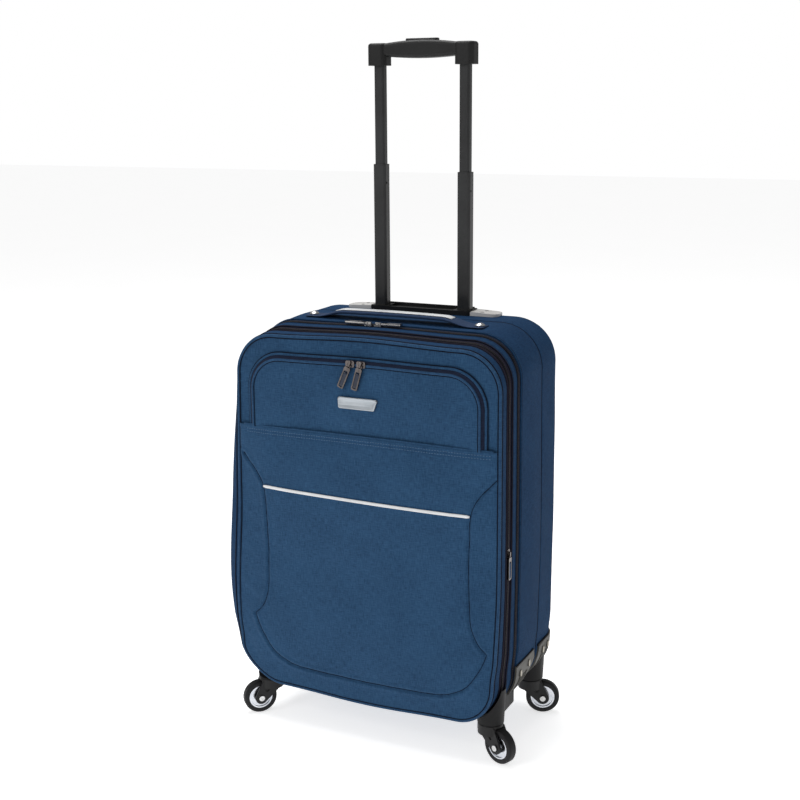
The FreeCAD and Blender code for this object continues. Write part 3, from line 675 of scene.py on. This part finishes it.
def make_case_fabric():
    # the first ring dips into the side seam, then the shell runs to its rounded back edge
    edge_radius = 22.0 * MM
    rings = [loop_at(Y_SEAM, 1.0 * MM), loop_at(Y_SEAM + 1.0 * MM, 0.3 * MM)]
    rings += [loop_at(y) for y in np.linspace(Y_SEAM + 2.5 * MM, Y_BACK - edge_radius, 10)]
    for turn in np.linspace(0, pi / 2, 9)[1:]:
        y = Y_BACK - edge_radius * (1 - sin(turn))
        rings.append(loop_at(y, edge_radius * (1 - cos(turn))))
    shell = loft("rear_shell_fabric", rings)
    back = panel("back", fill_sides(*four_sides(rings[-1])), facing_back=True)
    weld(shell, back)
    soften(shell, 0.09, 0.7 * MM, 3.0)
    open_for_tubes(shell)
    sew(shell, "shell", 3.6 * MM, "case", "rear_shell", fill=0.4, inner="lining")

    gusset = band("body_gusset_fabric", Y_GUSSET, Y_SEAM, "case", "body_gusset", 0.5 * MM, 3.6 * MM, rows=16)
    soften(gusset, 0.07, 0.6 * MM, 9.0)
    # dark cord of painted shadow in the crease of the side seam
    lay_ring("side_seam_shadow", Y_SEAM, 0.9 * MM, 0.8 * MM, "seam", "case")


def make_cover_fabric():
    cover = band("cover_gusset_fabric", Y_EXPAND_BACK, Y_COVER, "cover", "cover_gusset", 0.4 * MM)
    y_start = Y_FRONT + 1.5 * MM
    front = band("front_gusset_fabric", y_start, Y_EXPAND_FRONT, "front_panel", "front_gusset", 0.4 * MM)

    folds = 3
    rings = []
    for t in np.linspace(0, 1, 8 * folds + 1):
        y = Y_EXPAND_BACK + 5 * MM + (Y_EXPAND_FRONT - Y_EXPAND_BACK - 10 * MM) * t
        rings.append(loop_at(y, 6.5 * MM + 1.8 * MM * cos(2 * pi * folds * t)))
    gusset = loft("expansion_gusset_fabric", rings[::-1])
    dress(gusset, "shell", "lining")
    thicken(gusset, 0.8 * MM)
    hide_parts("expansion_gusset")
    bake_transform(gusset)


def coil_swell(line):
    """Turns of a zip coil: four steps of the path to each turn."""
    return 0.86 + 0.16 * np.cos(np.arange(len(line)) * pi / 2)


def make_zip_rings():
    """Woven tapes with their coils: the main zip, which opens the cover, and the expander zip before it."""
    inset = 1.4 * MM
    gap = 0.15 * MM
    tapes = (
        ("main_zip_case_cloth", Y_MAIN + gap, Y_GUSSET, "case", "main_zip_case_tape", 1),
        ("main_zip_cover_cloth", Y_COVER, Y_MAIN - gap, "cover", "main_zip_cover_tape", -1),
        ("expander_rear_cloth", Y_EXPAND + gap, Y_EXPAND_BACK, "cover", "expander_rear_tape", 1),
        ("expander_front_cloth", Y_EXPAND_FRONT, Y_EXPAND - gap, "front_panel", "expander_front_tape", -1),
    )
    for name, y_start, y_end, body, node, side in tapes:
        rings = [loop_at(y, inset) for y in np.linspace(y_start, y_end, 5)]
        sew(loft(name, rings), "dark" if "main" in name else "tape", 0.9 * MM, body, node)
        middle = (Y_MAIN if "main" in name else Y_EXPAND) + side * 1.05 * MM
        pitch = 1.6 * MM
        line = resample(loop_at(middle, inset - 0.35 * MM), pitch / 4, closed=True)
        lay(name.replace("cloth", "coil"), line, outward_of(line), round_profile(0.95 * MM, 6), "coil", body,
            closed=True, swell=coil_swell(line))


def make_welts():
    """Folded edges of fabric beside each zip, and dark cords of painted shadow in the creases where they are
    sewn down.
    """
    welts = (
        ("main_welt_case", Y_GUSSET + 0.9 * MM, "case", 1.25 * MM, 0.4 * MM, "shell"),
        ("main_welt_cover", Y_COVER - 0.9 * MM, "cover", 1.1 * MM, 0.5 * MM, "shell"),
        ("expander_welt_rear", Y_EXPAND_BACK + 0.9 * MM, "cover", 1.1 * MM, 0.5 * MM, "tape"),
        ("expander_welt_front", Y_EXPAND_FRONT - 0.9 * MM, "front_panel", 1.2 * MM, 0.4 * MM, "tape"),
        ("main_seam_shadow_case", Y_GUSSET + 3.2 * MM, "case", 0.5 * MM, 0.15 * MM, "seam"),
        ("cover_seam_shadow_front", Y_EXPAND_BACK + 3.2 * MM, "cover", 0.5 * MM, 0.15 * MM, "seam"),
        ("front_seam_shadow_rear", Y_EXPAND_FRONT - 3.2 * MM, "front_panel", 0.5 * MM, 0.15 * MM, "seam"),
    )
    for name, y, body, radius, inset, look in welts:
        lay_ring(name, y, inset, radius, look, body)


def make_hinge():
    """Cloth strip over the upright left side of the main zip, on which the cover turns."""
    loop = loop_at(Y_MAIN, -0.4 * MM)
    left = loop[(loop[:, 0] < -0.17) & (loop[:, 2] > 0.13) & (loop[:, 2] < 0.46)]
    depths = np.linspace(Y_COVER - 3 * MM, Y_GUSSET + 3 * MM, 13)
    grid = np.array([left + np.array([0, y - Y_MAIN, 0]) for y in depths])
    faces = grid_faces(len(depths), len(left))
    hinge = make_object("cover_hinge_cloth", grid.reshape(-1, 3), faces, cloth_coordinates(grid))
    dress(hinge, "shell")
    thicken(hinge, 0.9 * MM, 0.0)
    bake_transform(hinge)


# ---------------------------------------------------------------- front panel, pockets and trim
FORWARD = (0, -1, 0)
EDGE_INSET = 2.6 * MM
SHIELD_RIGHT = (
    ((176, 374), (168, 365), (157, 353), (148, 338), (144, 322), (143, 300)),
    ((143, 300), (142, 270), (142, 225), (144, 186), (152, 164), (165, 150)),
    ((165, 150), (160, 136), (152, 121), (139, 103), (122, 92), (100, 85.5), (50, 83), (0, 82)),
)
LEFT_DROP = 4.0              # the left end of the seam starts lower


def shield_path():
    """Seam of the lower pocket, from its upper right end across the foot to its left end, in metres."""
    right = np.vstack([curve_through(part)[:-1] for part in SHIELD_RIGHT] + [SHIELD_RIGHT[-1][-1:]])
    left = right[:-1][::-1] * (-1, 1)
    left[:, 1] -= LEFT_DROP * smooth_step(left[:, 1], 300, 370)
    return np.vstack([right, left]) * MM


def front_outline(inset, top_z=None):
    """Four sides of the front face inside the piping, up to top_z if that is given."""
    right, top, left, bottom = four_sides(loop_at(Y_FRONT, inset))
    if top_z is None:
        return right, top, left, bottom
    cut = []
    for side in (right, left):
        level = np.linspace(side[0, 2], top_z, SIDE_COUNT + 1)
        x = np.interp(level, side[:, 2], side[:, 0])
        cut.append(np.stack([x, np.full(len(level), Y_FRONT), level], 1))
    u = np.linspace(0, 1, TOP_COUNT + 1)[:, None]
    top = (1 - u) * cut[0][-1] + u * cut[1][-1]
    top[:, 2] += 1.5 * MM * np.sin(pi * u[:, 0])
    return cut[0], top, cut[1], bottom


def arch_sides(half, low, high, radius, bow=0.0):
    """Four sides of a pocket with round upper corners and a straight foot."""
    up = np.stack([np.full(40, half), np.linspace(low, high - radius, 40)], 1)
    turn = np.radians(np.linspace(0, 90, 25))
    corner = np.stack([half - radius + radius * np.cos(turn), high - radius + radius * np.sin(turn)], 1)
    flat = np.linspace(half - radius, 0, 24)[1:]
    lift = bow * np.sin(pi / 2 * (1 - flat / (half - radius))) ** 2
    right = resample(np.vstack([up, corner[1:13]]), 3.6 * MM)
    top_half = np.vstack([corner[12:], np.stack([flat, high + lift], 1)])
    top = resample(np.vstack([top_half, (top_half[:-1] * (-1, 1))[::-1]]), 5.0 * MM)
    u = np.linspace(0, 1, len(top))
    bottom = np.stack([half * (1 - 2 * u), np.full(len(top), low)], 1)
    left = right * (-1, 1)

    def lifted(side):
        return np.stack([side[:, 0], np.full(len(side), Y_FRONT), side[:, 1]], 1)

    return [lifted(side) for side in (right, top, left, bottom)]


def push_forward(obj, amount):
    """Moves points towards the front by the amounts in metres."""
    points = get_points(obj)
    points[:, 1] -= amount(points)
    set_points(obj, points)


def make_front_panel():
    board = panel("front_board_fabric", fill_sides(*front_outline(EDGE_INSET)))
    puff(board, 1.6 * MM)
    subdivide(board, 1)
    push_forward(board, lambda p: 0.25 * MM * ripple(p, 0.05, 5.0))
    sew(board, "panel", 4.0 * MM, "front_panel", "front_board", fill=0.5, inner="lining")
    lay_ring("front_piping_cord", Y_FRONT + 0.6 * MM, 1.0 * MM, 2.1 * MM, "piping", "front_panel",
             "front_piping", steps=14)
    # dark cords on both sides of the piping: painted contact shadow
    lay_ring("piping_shadow_inner", Y_FRONT - 0.9 * MM, 3.3 * MM, 0.6 * MM, "seam", "front_panel")
    lay_ring("piping_shadow_outer", Y_FRONT + 3.4 * MM, -0.4 * MM, 1.0 * MM, "seam", "front_panel")


def hem_forward(x):
    """How far the hem of the lower pocket stands in front of the board, at each x."""
    return 6.5 * MM * (1 - (np.abs(x) / 0.1785) ** 5)


def ridge(distance, centre, width):
    """Round ridge of height 1 at a distance, with centre and width in millimetres."""
    return np.exp(-((distance - centre * MM) / (width * MM)) ** 2)


def lower_face(points):
    """Relief of the lower pocket on top of its puff: seam ditch, hem, rows of stitches and slot."""
    flat = points[:, (0, 2)]
    away, side = distance_to(flat, shield_path())
    ditch = -1.7 * MM * ridge(away, 0, 1.5)
    lip = 0.9 * MM * ridge(away, 4.0, 2.6)
    inside = 1.0 * MM * smooth_step(away, 1.0 * MM, 16.0 * MM) * (side < 0)
    hem_gap = WELT_Z - points[:, 2]
    hem = 0.7 * MM * ridge(hem_gap, 2.0, 2.4)
    rows = -0.35 * MM * (ridge(hem_gap, 5.2, 1.0) + ridge(hem_gap, 9.2, 1.0))
    slot_gap = points[:, 2] - trim_level(points[:, 0]) - 3.0 * MM
    slot = -0.9 * MM * ridge(slot_gap, 0, 1.6) * (np.abs(points[:, 0]) < TRIM_HALF)
    return ditch + lip + inside + hem + rows + slot


TRIM_Z = (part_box("pocket_trim")[0].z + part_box("pocket_trim")[1].z) / 2
TRIM_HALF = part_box("pocket_trim")[1].x


def trim_level(x):
    """Height of the middle of the white trim at each x."""
    return TRIM_Z - 1.5 * MM * (x / TRIM_HALF)


def make_lower_pocket():
    grid = fill_sides(*front_outline(EDGE_INSET + 0.9 * MM, WELT_Z))
    up = smooth_step(grid[..., 2], WELT_Z - 0.20, WELT_Z)
    grid[..., 1] -= 0.9 * MM + up * hem_forward(grid[..., 0])
    pocket = panel("lower_pocket_fabric", grid)
    puff(pocket, 7.5 * MM, -0.012)
    subdivide(pocket, 2)
    push_forward(pocket, lambda p: lower_face(p) + 0.3 * MM * ripple(p, 0.06, 2.0))
    sew(pocket, "panel", 0.8 * MM, "front_panel", "lower_pocket", fill=0.4, inner="lining")

    flat = resample(shield_path(), 2.0 * MM)
    heights = surface_heights(pocket, flat) + 0.1 * MM
    path = np.stack([flat[:, 0], heights, flat[:, 1]], 1)
    # dark cord in the seam ditch: painted shadow in the crease
    lay("lower_pocket_seam_shadow", path, FORWARD, round_profile(0.5 * MM, 6), "seam", "front_panel")
    add_stitches(pocket)
    add_trim(pocket)


def surface_heights(obj, flat):
    """Front y of a panel at each (x, z), by dropping rays on it from the front."""
    found = []
    for x, z in flat:
        hit, place, _, _ = obj.ray_cast(Vector((x, -0.3, z)), Vector((0, 1, 0)))
        found.append(place.y if hit else Y_FRONT)
    return np.array(found)


def add_stitches(pocket):
    """Two rows of sewing thread below the hem of the lower pocket."""
    pitch = 3.6 * MM
    length = 2.7 * MM
    half = 0.168
    points, faces, cloth = [], [], []
    profile = round_profile(0.42 * MM, 6)
    for row in (5.2 * MM, 9.2 * MM):
        for x in np.arange(-half, half, pitch):
            z = WELT_Z - row + 1.5 * MM * sin(pi * (x + half) / (2 * half))
            y = surface_heights(pocket, [(x + length / 2, z)])[0]
            start = len(points)
            for t, size in ((0, 0.4), (0.2, 1.0), (0.8, 1.0), (1, 0.4)):
                for a, b in profile:
                    points.append((x + t * length, y - 0.1 * MM + b * size, z + a * size))
                    cloth.append((x + t * length, a, 0))
            faces += grid_faces(4, len(profile), wrap=True, start=start) + end_caps(4, len(profile), start)
    stitches = make_object("hem_stitches", points, faces, cloth)
    outwards(stitches)
    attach(dress(stitches, "thread"), "front_panel")


def add_trim(pocket):
    """White strip across the lower pocket, which follows the fabric."""
    xs = np.linspace(-TRIM_HALF, TRIM_HALF, 80)
    flat = np.stack([xs, trim_level(xs)], 1)
    path = np.stack([xs, surface_heights(pocket, flat) - 0.35 * MM, flat[:, 1]], 1)
    path[:, 1] = np.convolve(np.pad(path[:, 1], 6, mode="edge"), np.ones(13) / 13, mode="valid")
    swell = 1 - 0.35 * (np.abs(xs) > TRIM_HALF - 0.002)
    profile = strip_profile(3.9 * MM, 1.9 * MM, 0.8 * MM)
    lay("pocket_trim_strip", path, FORWARD, profile, "trim", "front_panel", "pocket_trim", swell=swell)


def make_upper_pocket():
    zip_half, zip_high, zip_radius = 161.5 * MM, 503.5 * MM, 46.0 * MM
    face_gap = 6.5 * MM
    rise = 6.3 * MM

    def arch(inset, low):
        return arch_sides(zip_half - inset, low, zip_high - inset, zip_radius - inset, 1.5 * MM)

    grid = fill_sides(*arch(face_gap, WELT_Z + 0.5 * MM))
    grid[..., 1] -= rise
    pocket = panel("upper_pocket_fabric", grid)
    puff(pocket, 2.2 * MM, -0.008)
    subdivide(pocket, 1)
    push_forward(pocket, lambda p: 0.3 * MM * ripple(p, 0.05, 8.0))
    sew(pocket, "panel", 2.0 * MM, "front_panel", "upper_pocket", fill=0.5, inner="lining")

    def path_at(inset, y):
        right, top, left, _ = arch(inset, WELT_Z - 1.0 * MM)
        line = np.vstack([right[:-1], top, left[::-1][1:]])
        return resample(line + np.array([0, y, 0]), 2.0 * MM)

    def lay_at(name, inset, y, radius, steps, look):
        lay(name, path_at(inset, y), FORWARD, round_profile(radius, steps), look, "front_panel")

    lay_at("pocket_piping", face_gap - 1.0 * MM, -rise - 0.2 * MM, 1.6 * MM, 10, "piping")
    # dark cord inside the piping: painted shadow in its crease
    lay_at("pocket_piping_shadow", face_gap + 1.2 * MM, -rise - 0.5 * MM, 0.45 * MM, 6, "seam")

    outer_line, inner_line = path_at(-1.5 * MM, -1.2 * MM), path_at(face_gap - 1.0 * MM, -rise + 0.6 * MM)
    count = min(len(outer_line), len(inner_line))
    outer_line, inner_line = resample_to(outer_line, count), resample_to(inner_line, count)
    rows = np.array([outer_line + (inner_line - outer_line) * t for t in np.linspace(0, 1, 6)])
    tape = make_object("pocket_zip_cloth", rows.reshape(-1, 3), grid_faces(6, count), cloth_coordinates(rows))
    sew(tape, "dark", 0.8 * MM, "front_panel", "pocket_zip_tape")

    pitch = 1.5 * MM
    for name, inset in (("pocket_coil_outer", 1.2 * MM), ("pocket_coil_inner", 2.9 * MM)):
        y = -1.2 * MM - rise * (inset + 1.5 * MM) / (face_gap + 1.5 * MM) * 0.55
        line = resample(path_at(inset, y), pitch / 4)
        lay(name, line, FORWARD, round_profile(0.9 * MM, 6), "coil", "front_panel", swell=coil_swell(line))

    lay_at("pocket_welt_outer", -1.0 * MM, -2.2 * MM, 1.7 * MM, 10, "panel")
    # dark cord outside the welt: painted shadow in its crease
    lay_at("pocket_welt_seam_shadow", -3.2 * MM, -1.6 * MM, 0.6 * MM, 6, "seam")
    hem_x = np.linspace(-0.1725, 0.1725, 90)
    hem_z = WELT_Z + 0.4 * MM + 1.5 * MM * np.cos(pi * hem_x / 0.345)
    hem_y = Y_FRONT - 1.6 * MM - hem_forward(hem_x)
    hem = np.stack([hem_x, hem_y, hem_z], 1)
    lay("lower_pocket_hem", hem, FORWARD, round_profile(1.2 * MM, 8), "panel", "front_panel")


# ---------------------------------------------------------------- carry handle and inner panel
def bend_with_handle(obj):
    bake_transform(obj)


def make_carry_handle():
    low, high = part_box("carry_handle")
    middle_y = (low.y + high.y) / 2
    width = high.y - low.y
    end_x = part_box("carry_handle_tabs")[1].x
    base_z = HIGH + 1.1 * MM
    xs = np.linspace(-end_x, end_x, 121)
    lift = smooth_step(end_x - 16 * MM - np.abs(xs), 0, 40 * MM)
    top_z = high.z - 6.4 * MM
    centre_z = base_z + lift * (top_z - base_z) * (1 - 0.30 * (xs / end_x) ** 2)
    thick = 1.5 * MM + 3.4 * MM * lift
    rings = []
    round_steps = 28
    turn = np.linspace(0, 2 * pi, round_steps, endpoint=False)
    for x, z, t in zip(xs, centre_z, thick):
        end = max(0.0, (abs(x) - (end_x - 6 * MM)) / (6 * MM))
        half_width = width / 2 * (1 - 0.28 * end ** 2)
        across = half_width * np.sign(np.cos(turn)) * np.abs(np.cos(turn)) ** 0.45
        upright = t / 2 * np.sign(np.sin(turn)) * np.abs(np.sin(turn)) ** 0.75
        rings.append(np.stack([np.full(round_steps, x), middle_y + across, z + upright], 1))
    rings = np.array(rings)
    faces = grid_faces(len(xs), round_steps, wrap=True) + end_caps(len(xs), round_steps)
    cloth = cloth_coordinates(rings)[:, (1, 0, 2)]
    strap = make_object("carry_handle_strap", rings.reshape(-1, 3), faces, cloth)
    outwards(strap)
    dress(strap, "webbing")
    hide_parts("carry_handle", "carry_handle_tabs")
    bend_with_handle(strap)

    stripe_low, stripe_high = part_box("carry_handle_stripe")
    keep = np.abs(xs) <= stripe_high.x
    level = centre_z[keep] + thick[keep] / 2 + 0.15 * MM
    path = np.stack([xs[keep], np.full(keep.sum(), middle_y), level], 1)
    profile = strip_profile(stripe_high.y - stripe_low.y, 1.3 * MM, 0.6 * MM)
    stripe = dress(sweep("carry_handle_white_stripe", path, (0, 0, 1), profile), "trim")
    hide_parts("carry_handle_stripe")
    bend_with_handle(stripe)
    # dark cords beside the white stripe: painted shadow along the strap's seams
    for name, offset in (("handle_seam_shadow_front", -1), ("handle_seam_shadow_back", 1)):
        side_path = path + np.array([0, offset * 8.6 * MM, -0.35 * MM])
        bend_with_handle(dress(sweep(name, side_path, (0, 0, 1), round_profile(0.5 * MM, 6)), "seam"))


def make_trolley_cover():
    low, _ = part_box("trolley_cover")
    cover = panel("trolley_cover_cloth", fill_sides(*four_sides(loop_at(low.y, 5.0 * MM))))
    push_forward(cover, lambda p: 0.8 * MM * np.abs(ripple(p, 0.08, 4.0)))
    sew(cover, "lining", 1.2 * MM, "case", "trolley_cover")


def make_badge():
    """Blank satin plate with a raised rim, wider at its top."""
    low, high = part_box("badge")
    middle_x, middle_z = (low.x + high.x) / 2, (low.z + high.z) / 2
    corners = ((-26.5, -7.2), (23.5, -7.2), (27.0, 7.4), (-27.0, 7.4))
    corner_radius = 2.4
    outline = []
    for k, (x, z) in enumerate(corners):
        inward = np.array([-np.sign(x), -np.sign(z)]) * corner_radius
        centre = np.array([x, z]) + inward
        for turn in np.radians(180 + 90 * k + np.linspace(0, 90, 6)):
            outline.append(centre + corner_radius * np.array([cos(turn), sin(turn)]))
    outline = np.array(outline) * MM
    front = low.y - 0.2 * MM
    back = high.y + 0.6 * MM - front
    steps = ((1.0, back), (1.0, 0.7 * MM), (0.985, 0.2 * MM), (0.96, 0), (0.945, 0.05 * MM), (0.93, 0.25 * MM),
             (0.6, 0.2 * MM), (0.05, 0.15 * MM))
    rings = []
    for size, depth in steps:
        shrink = (1 - size) * 27 * MM
        scaled = np.sign(outline) * np.maximum(np.abs(outline) - shrink, np.abs(outline) * size * 0.1)
        y = np.full(len(scaled), front + depth)
        rings.append(np.stack([middle_x + scaled[:, 0], y, middle_z + scaled[:, 1]], 1))
    count = len(outline)
    faces = grid_faces(len(steps), count, wrap=True) + end_caps(len(steps), count)
    badge = make_object("badge_plate", np.vstack(rings), faces, np.zeros((count * len(steps), 3)))
    outwards(badge)
    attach(dress(badge, "badge"), "front_panel")
    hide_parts("badge")


# ---------------------------------------------------------------- finishes of the rigid nodes
def paint_nodes():
    """Finishes by the start of a node's name; where two fit, the later one holds."""
    looks = {
        "frame": ("frame_ring", "bottom_board", "tube_bracket"),
        "alloy": ("outer_tubes",),
        "base": ("handle_base", "release_button"),
        "silver": ("handle_base_wings",),
        "screw": ("base_screws", "handle_rivets"),
        "black_tube": ("upper_tubes", "middle_tube"),
        "grip": ("grip",),
        "housing": ("caster_housings",),
        "guard": ("corner_guard",),
        "fork": ("caster_fork",),
        "tyre": ("tyre",),
        "rim": ("rim",),
        "zip_metal": ("slider_", "pull_"),
        "chrome": ("slider_main", "pull_main"),
    }
    for look, starts in looks.items():
        for name, obj in NODES.items():
            if not name.startswith(starts):
                continue
            materials = obj.data.materials
            if not materials:
                materials.append(MATERIALS[look])
            for k in range(len(materials)):
                materials[k] = MATERIALS[look]


def add_disc(name, centre, axis, radius, height, look, body):
    """Low round cap with a rounded edge, standing along axis on centre."""
    axis = Vector(axis).normalized()
    side = axis.orthogonal().normalized()
    other = axis.cross(side)
    profile = ((1.0, 0.0), (1.0, 0.6), (0.93, 0.88), (0.8, 1.0), (0.4, 1.08), (0.02, 1.1))
    steps = 28
    points = []
    for size, rise in profile:
        for turn in np.linspace(0, 2 * pi, steps, endpoint=False):
            flat = side * cos(turn) + other * sin(turn)
            points.append(Vector(centre) + flat * (radius * size) + axis * (height * rise))
    faces = grid_faces(len(profile), steps, wrap=True) + end_caps(len(profile), steps)
    disc = make_object(name, points, faces)
    outwards(disc)
    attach(dress(disc, look), body)


def make_caster_trim():
    """Bright axle caps on both sides of each fork, and a small pin in each cheek's recess."""
    cheek = 10.1 * MM
    cap_height = 1.3 * MM
    for joint in frame["joints"]:
        if not joint["name"].startswith("roll_"):
            continue
        name = joint["name"][5:]
        hub, axis = Vector(joint["pos_m"]), Vector(joint["axis"])
        swivel = next(other for other in frame["joints"] if other["name"] == "swivel_" + name)
        trail = Vector((swivel["pos_m"][0] - hub.x, swivel["pos_m"][1] - hub.y, 0)).normalized()
        for direction, side in ((-1, "a"), (1, "b")):
            out, body = axis * direction, "swivel_" + name
            cap = hub + out * (cheek + cap_height)
            add_disc(f"axle_cap_{name}_{side}", cap, out, 3.9 * MM, 0.5 * MM, "screw", body)
            pin = hub + trail * 10 * MM + Vector((0, 0, 13.5 * MM)) + out * (cheek - 1.2 * MM)
            add_disc(f"cheek_pin_{name}_{side}", pin, out, 1.3 * MM, 0.8 * MM, "screw", body)


def make_guard_glint_pads():
    """Light beige pads on the outer face of each corner guard, their colour a painted reflection of its
    embossed windows, and the dark edge along its top.
    """
    pads = {"front": ((-22, 99), (8, 101)), "back": ((62, 98), (80, 99))}
    skin = HALF + 3.4 * MM
    for row, places in pads.items():
        for side, name in ((-1, "left"), (1, "right")):
            for k, (y, z) in enumerate(places):
                path = [(side * skin, y * MM, (z + t) * MM) for t in np.linspace(-4.1, 4.1, 12)]
                swell = 1 - 0.35 * np.abs(np.linspace(-1, 1, 12)) ** 6
                lay(f"guard_pad_{row}_{name}_{k + 1}", path, (side, 0, 0),
                    strip_profile(4.8 * MM, 0.9 * MM, 0.4 * MM), "pad", "case", swell=swell)
            low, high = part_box(f"corner_guard_{row}_{name}")
            ends = (low.y + 1.0 * MM, min(high.y, Y_BACK - 22 * MM) - 1.5 * MM)
            level = high.z - 1.0 * MM - (1.5 * MM if row == "back" else 0)
            edge = [(side * (HALF + 1.6 * MM), y, level) for y in np.linspace(*ends, 24)]
            profile = round_profile(1.3 * MM, 8)
            lay(f"guard_edge_{row}_{name}", edge, (side, 0, 0), profile, "guard_edge", "case")


def make_pull_insets():
    """Enamelled inlay that fills the window of each pull; the one on the expander is blue."""
    for name, obj in NODES.items():
        if not name.startswith("pull_"):
            continue
        points = get_points(obj)
        centre = points.mean(axis=0)
        axes = np.linalg.svd(points - centre, full_matrices=False)[2]
        along, thin = axes[0], axes[2]
        spans = (points - centre) @ axes.T
        middle = centre + axes.T @ ((spans.max(axis=0) + spans.min(axis=0)) / 2)
        slider = get_points(NODES[name.replace("pull_", "slider_")]).mean(axis=0)
        if along @ (middle - slider) < 0:
            along = -along
        reach = (spans[:, 0].max() - spans[:, 0].min()) / 2
        path = [middle + along * t for t in np.linspace(-reach + 10.5 * MM, reach - 2.2 * MM, 10)]
        look = "piping" if name == "pull_expander" else "inset"
        lay("inset_" + name, path, thin, strip_profile(5.4 * MM, 1.1 * MM, 0.4 * MM), look, name)


# ---------------------------------------------------------------- camera, floor and light
def make_camera():
    azimuth, pitch, roll = radians(25.873), radians(13.055), radians(-0.426)
    forward = Vector((-sin(azimuth) * cos(pitch), cos(azimuth) * cos(pitch), -sin(pitch)))
    right = forward.cross(Vector((0, 0, 1))).normalized()
    up = right.cross(forward)
    turned_right = right * cos(roll) + up * sin(roll)
    turned_up = up * cos(roll) - right * sin(roll)
    data = bpy.data.cameras.new("camera")
    data.sensor_width = 36.0
    data.lens = 58.52
    camera = bpy.data.objects.new("camera", data)
    scene.collection.objects.link(camera)
    axes = Matrix((turned_right, turned_up, -forward)).transposed().to_4x4()
    camera.matrix_world = Matrix.Translation((0.7182, -1.4741, 0.8156)) @ axes
    scene.camera = camera


def area_light(name, place, target, size, power):
    data = bpy.data.lights.new(name, "AREA")
    data.shape = "SQUARE"
    data.size = size
    data.energy = power
    light = bpy.data.objects.new(name, data)
    light.location = place
    light.rotation_euler = (Vector(target) - Vector(place)).to_track_quat("-Z", "Y").to_euler()
    scene.collection.objects.link(light)


def make_stage():
    reach = 12.0
    corners = [(-reach, -reach, 0), (reach, -reach, 0), (reach, reach, 0), (-reach, reach, 0)]
    floor = make_object("floor", corners, [(0, 1, 2, 3)])
    shader = Shader("pale_floor", 0.8)
    place = shader.add("TexCoord")["Object"]
    shader.colour(shader.noise(place, 3.0), (0.93, 0.93, 0.93), (0.95, 0.95, 0.95))
    shader.set("Emission Color", (1, 1, 1, 1))
    shader.set("Emission Strength", 0.66)
    floor.data.materials.append(shader.material)
    make_world()
    centre = (0, 0, 0.35)
    area_light("key", (-1.3, -2.6, 2.0), centre, 1.4, 20)
    area_light("side", (2.6, -0.6, 1.3), centre, 1.4, 1)
    area_light("top", (-0.5, 0.3, 2.6), centre, 1.6, 44)
    scene.view_settings.view_transform = "Standard"
    scene.view_settings.look = "None"


def make_world():
    """White studio: full white behind the object, softer as a light."""
    world = bpy.data.worlds.new("studio")
    world.use_nodes = True
    nodes, links = world.node_tree.nodes, world.node_tree.links
    soft = nodes["Background"]
    soft.inputs["Color"].default_value = (1, 1, 1, 1)
    soft.inputs["Strength"].default_value = 0.31
    behind = nodes.new("ShaderNodeBackground")
    behind.inputs["Color"].default_value = (1, 1, 1, 1)
    mix = nodes.new("ShaderNodeMixShader")
    links.new(nodes.new("ShaderNodeLightPath").outputs["Is Camera Ray"], mix.inputs[0])
    links.new(soft.outputs[0], mix.inputs[1])
    links.new(behind.outputs[0], mix.inputs[2])
    links.new(mix.outputs[0], nodes["World Output"].inputs["Surface"])
    scene.world = world


make_camera()
make_stage()
paint_nodes()
make_case_fabric()
make_cover_fabric()
make_zip_rings()
make_welts()
make_hinge()
make_front_panel()
make_lower_pocket()
make_upper_pocket()
make_badge()
make_caster_trim()
make_guard_glint_pads()
make_pull_insets()
make_carry_handle()
make_trolley_cover()
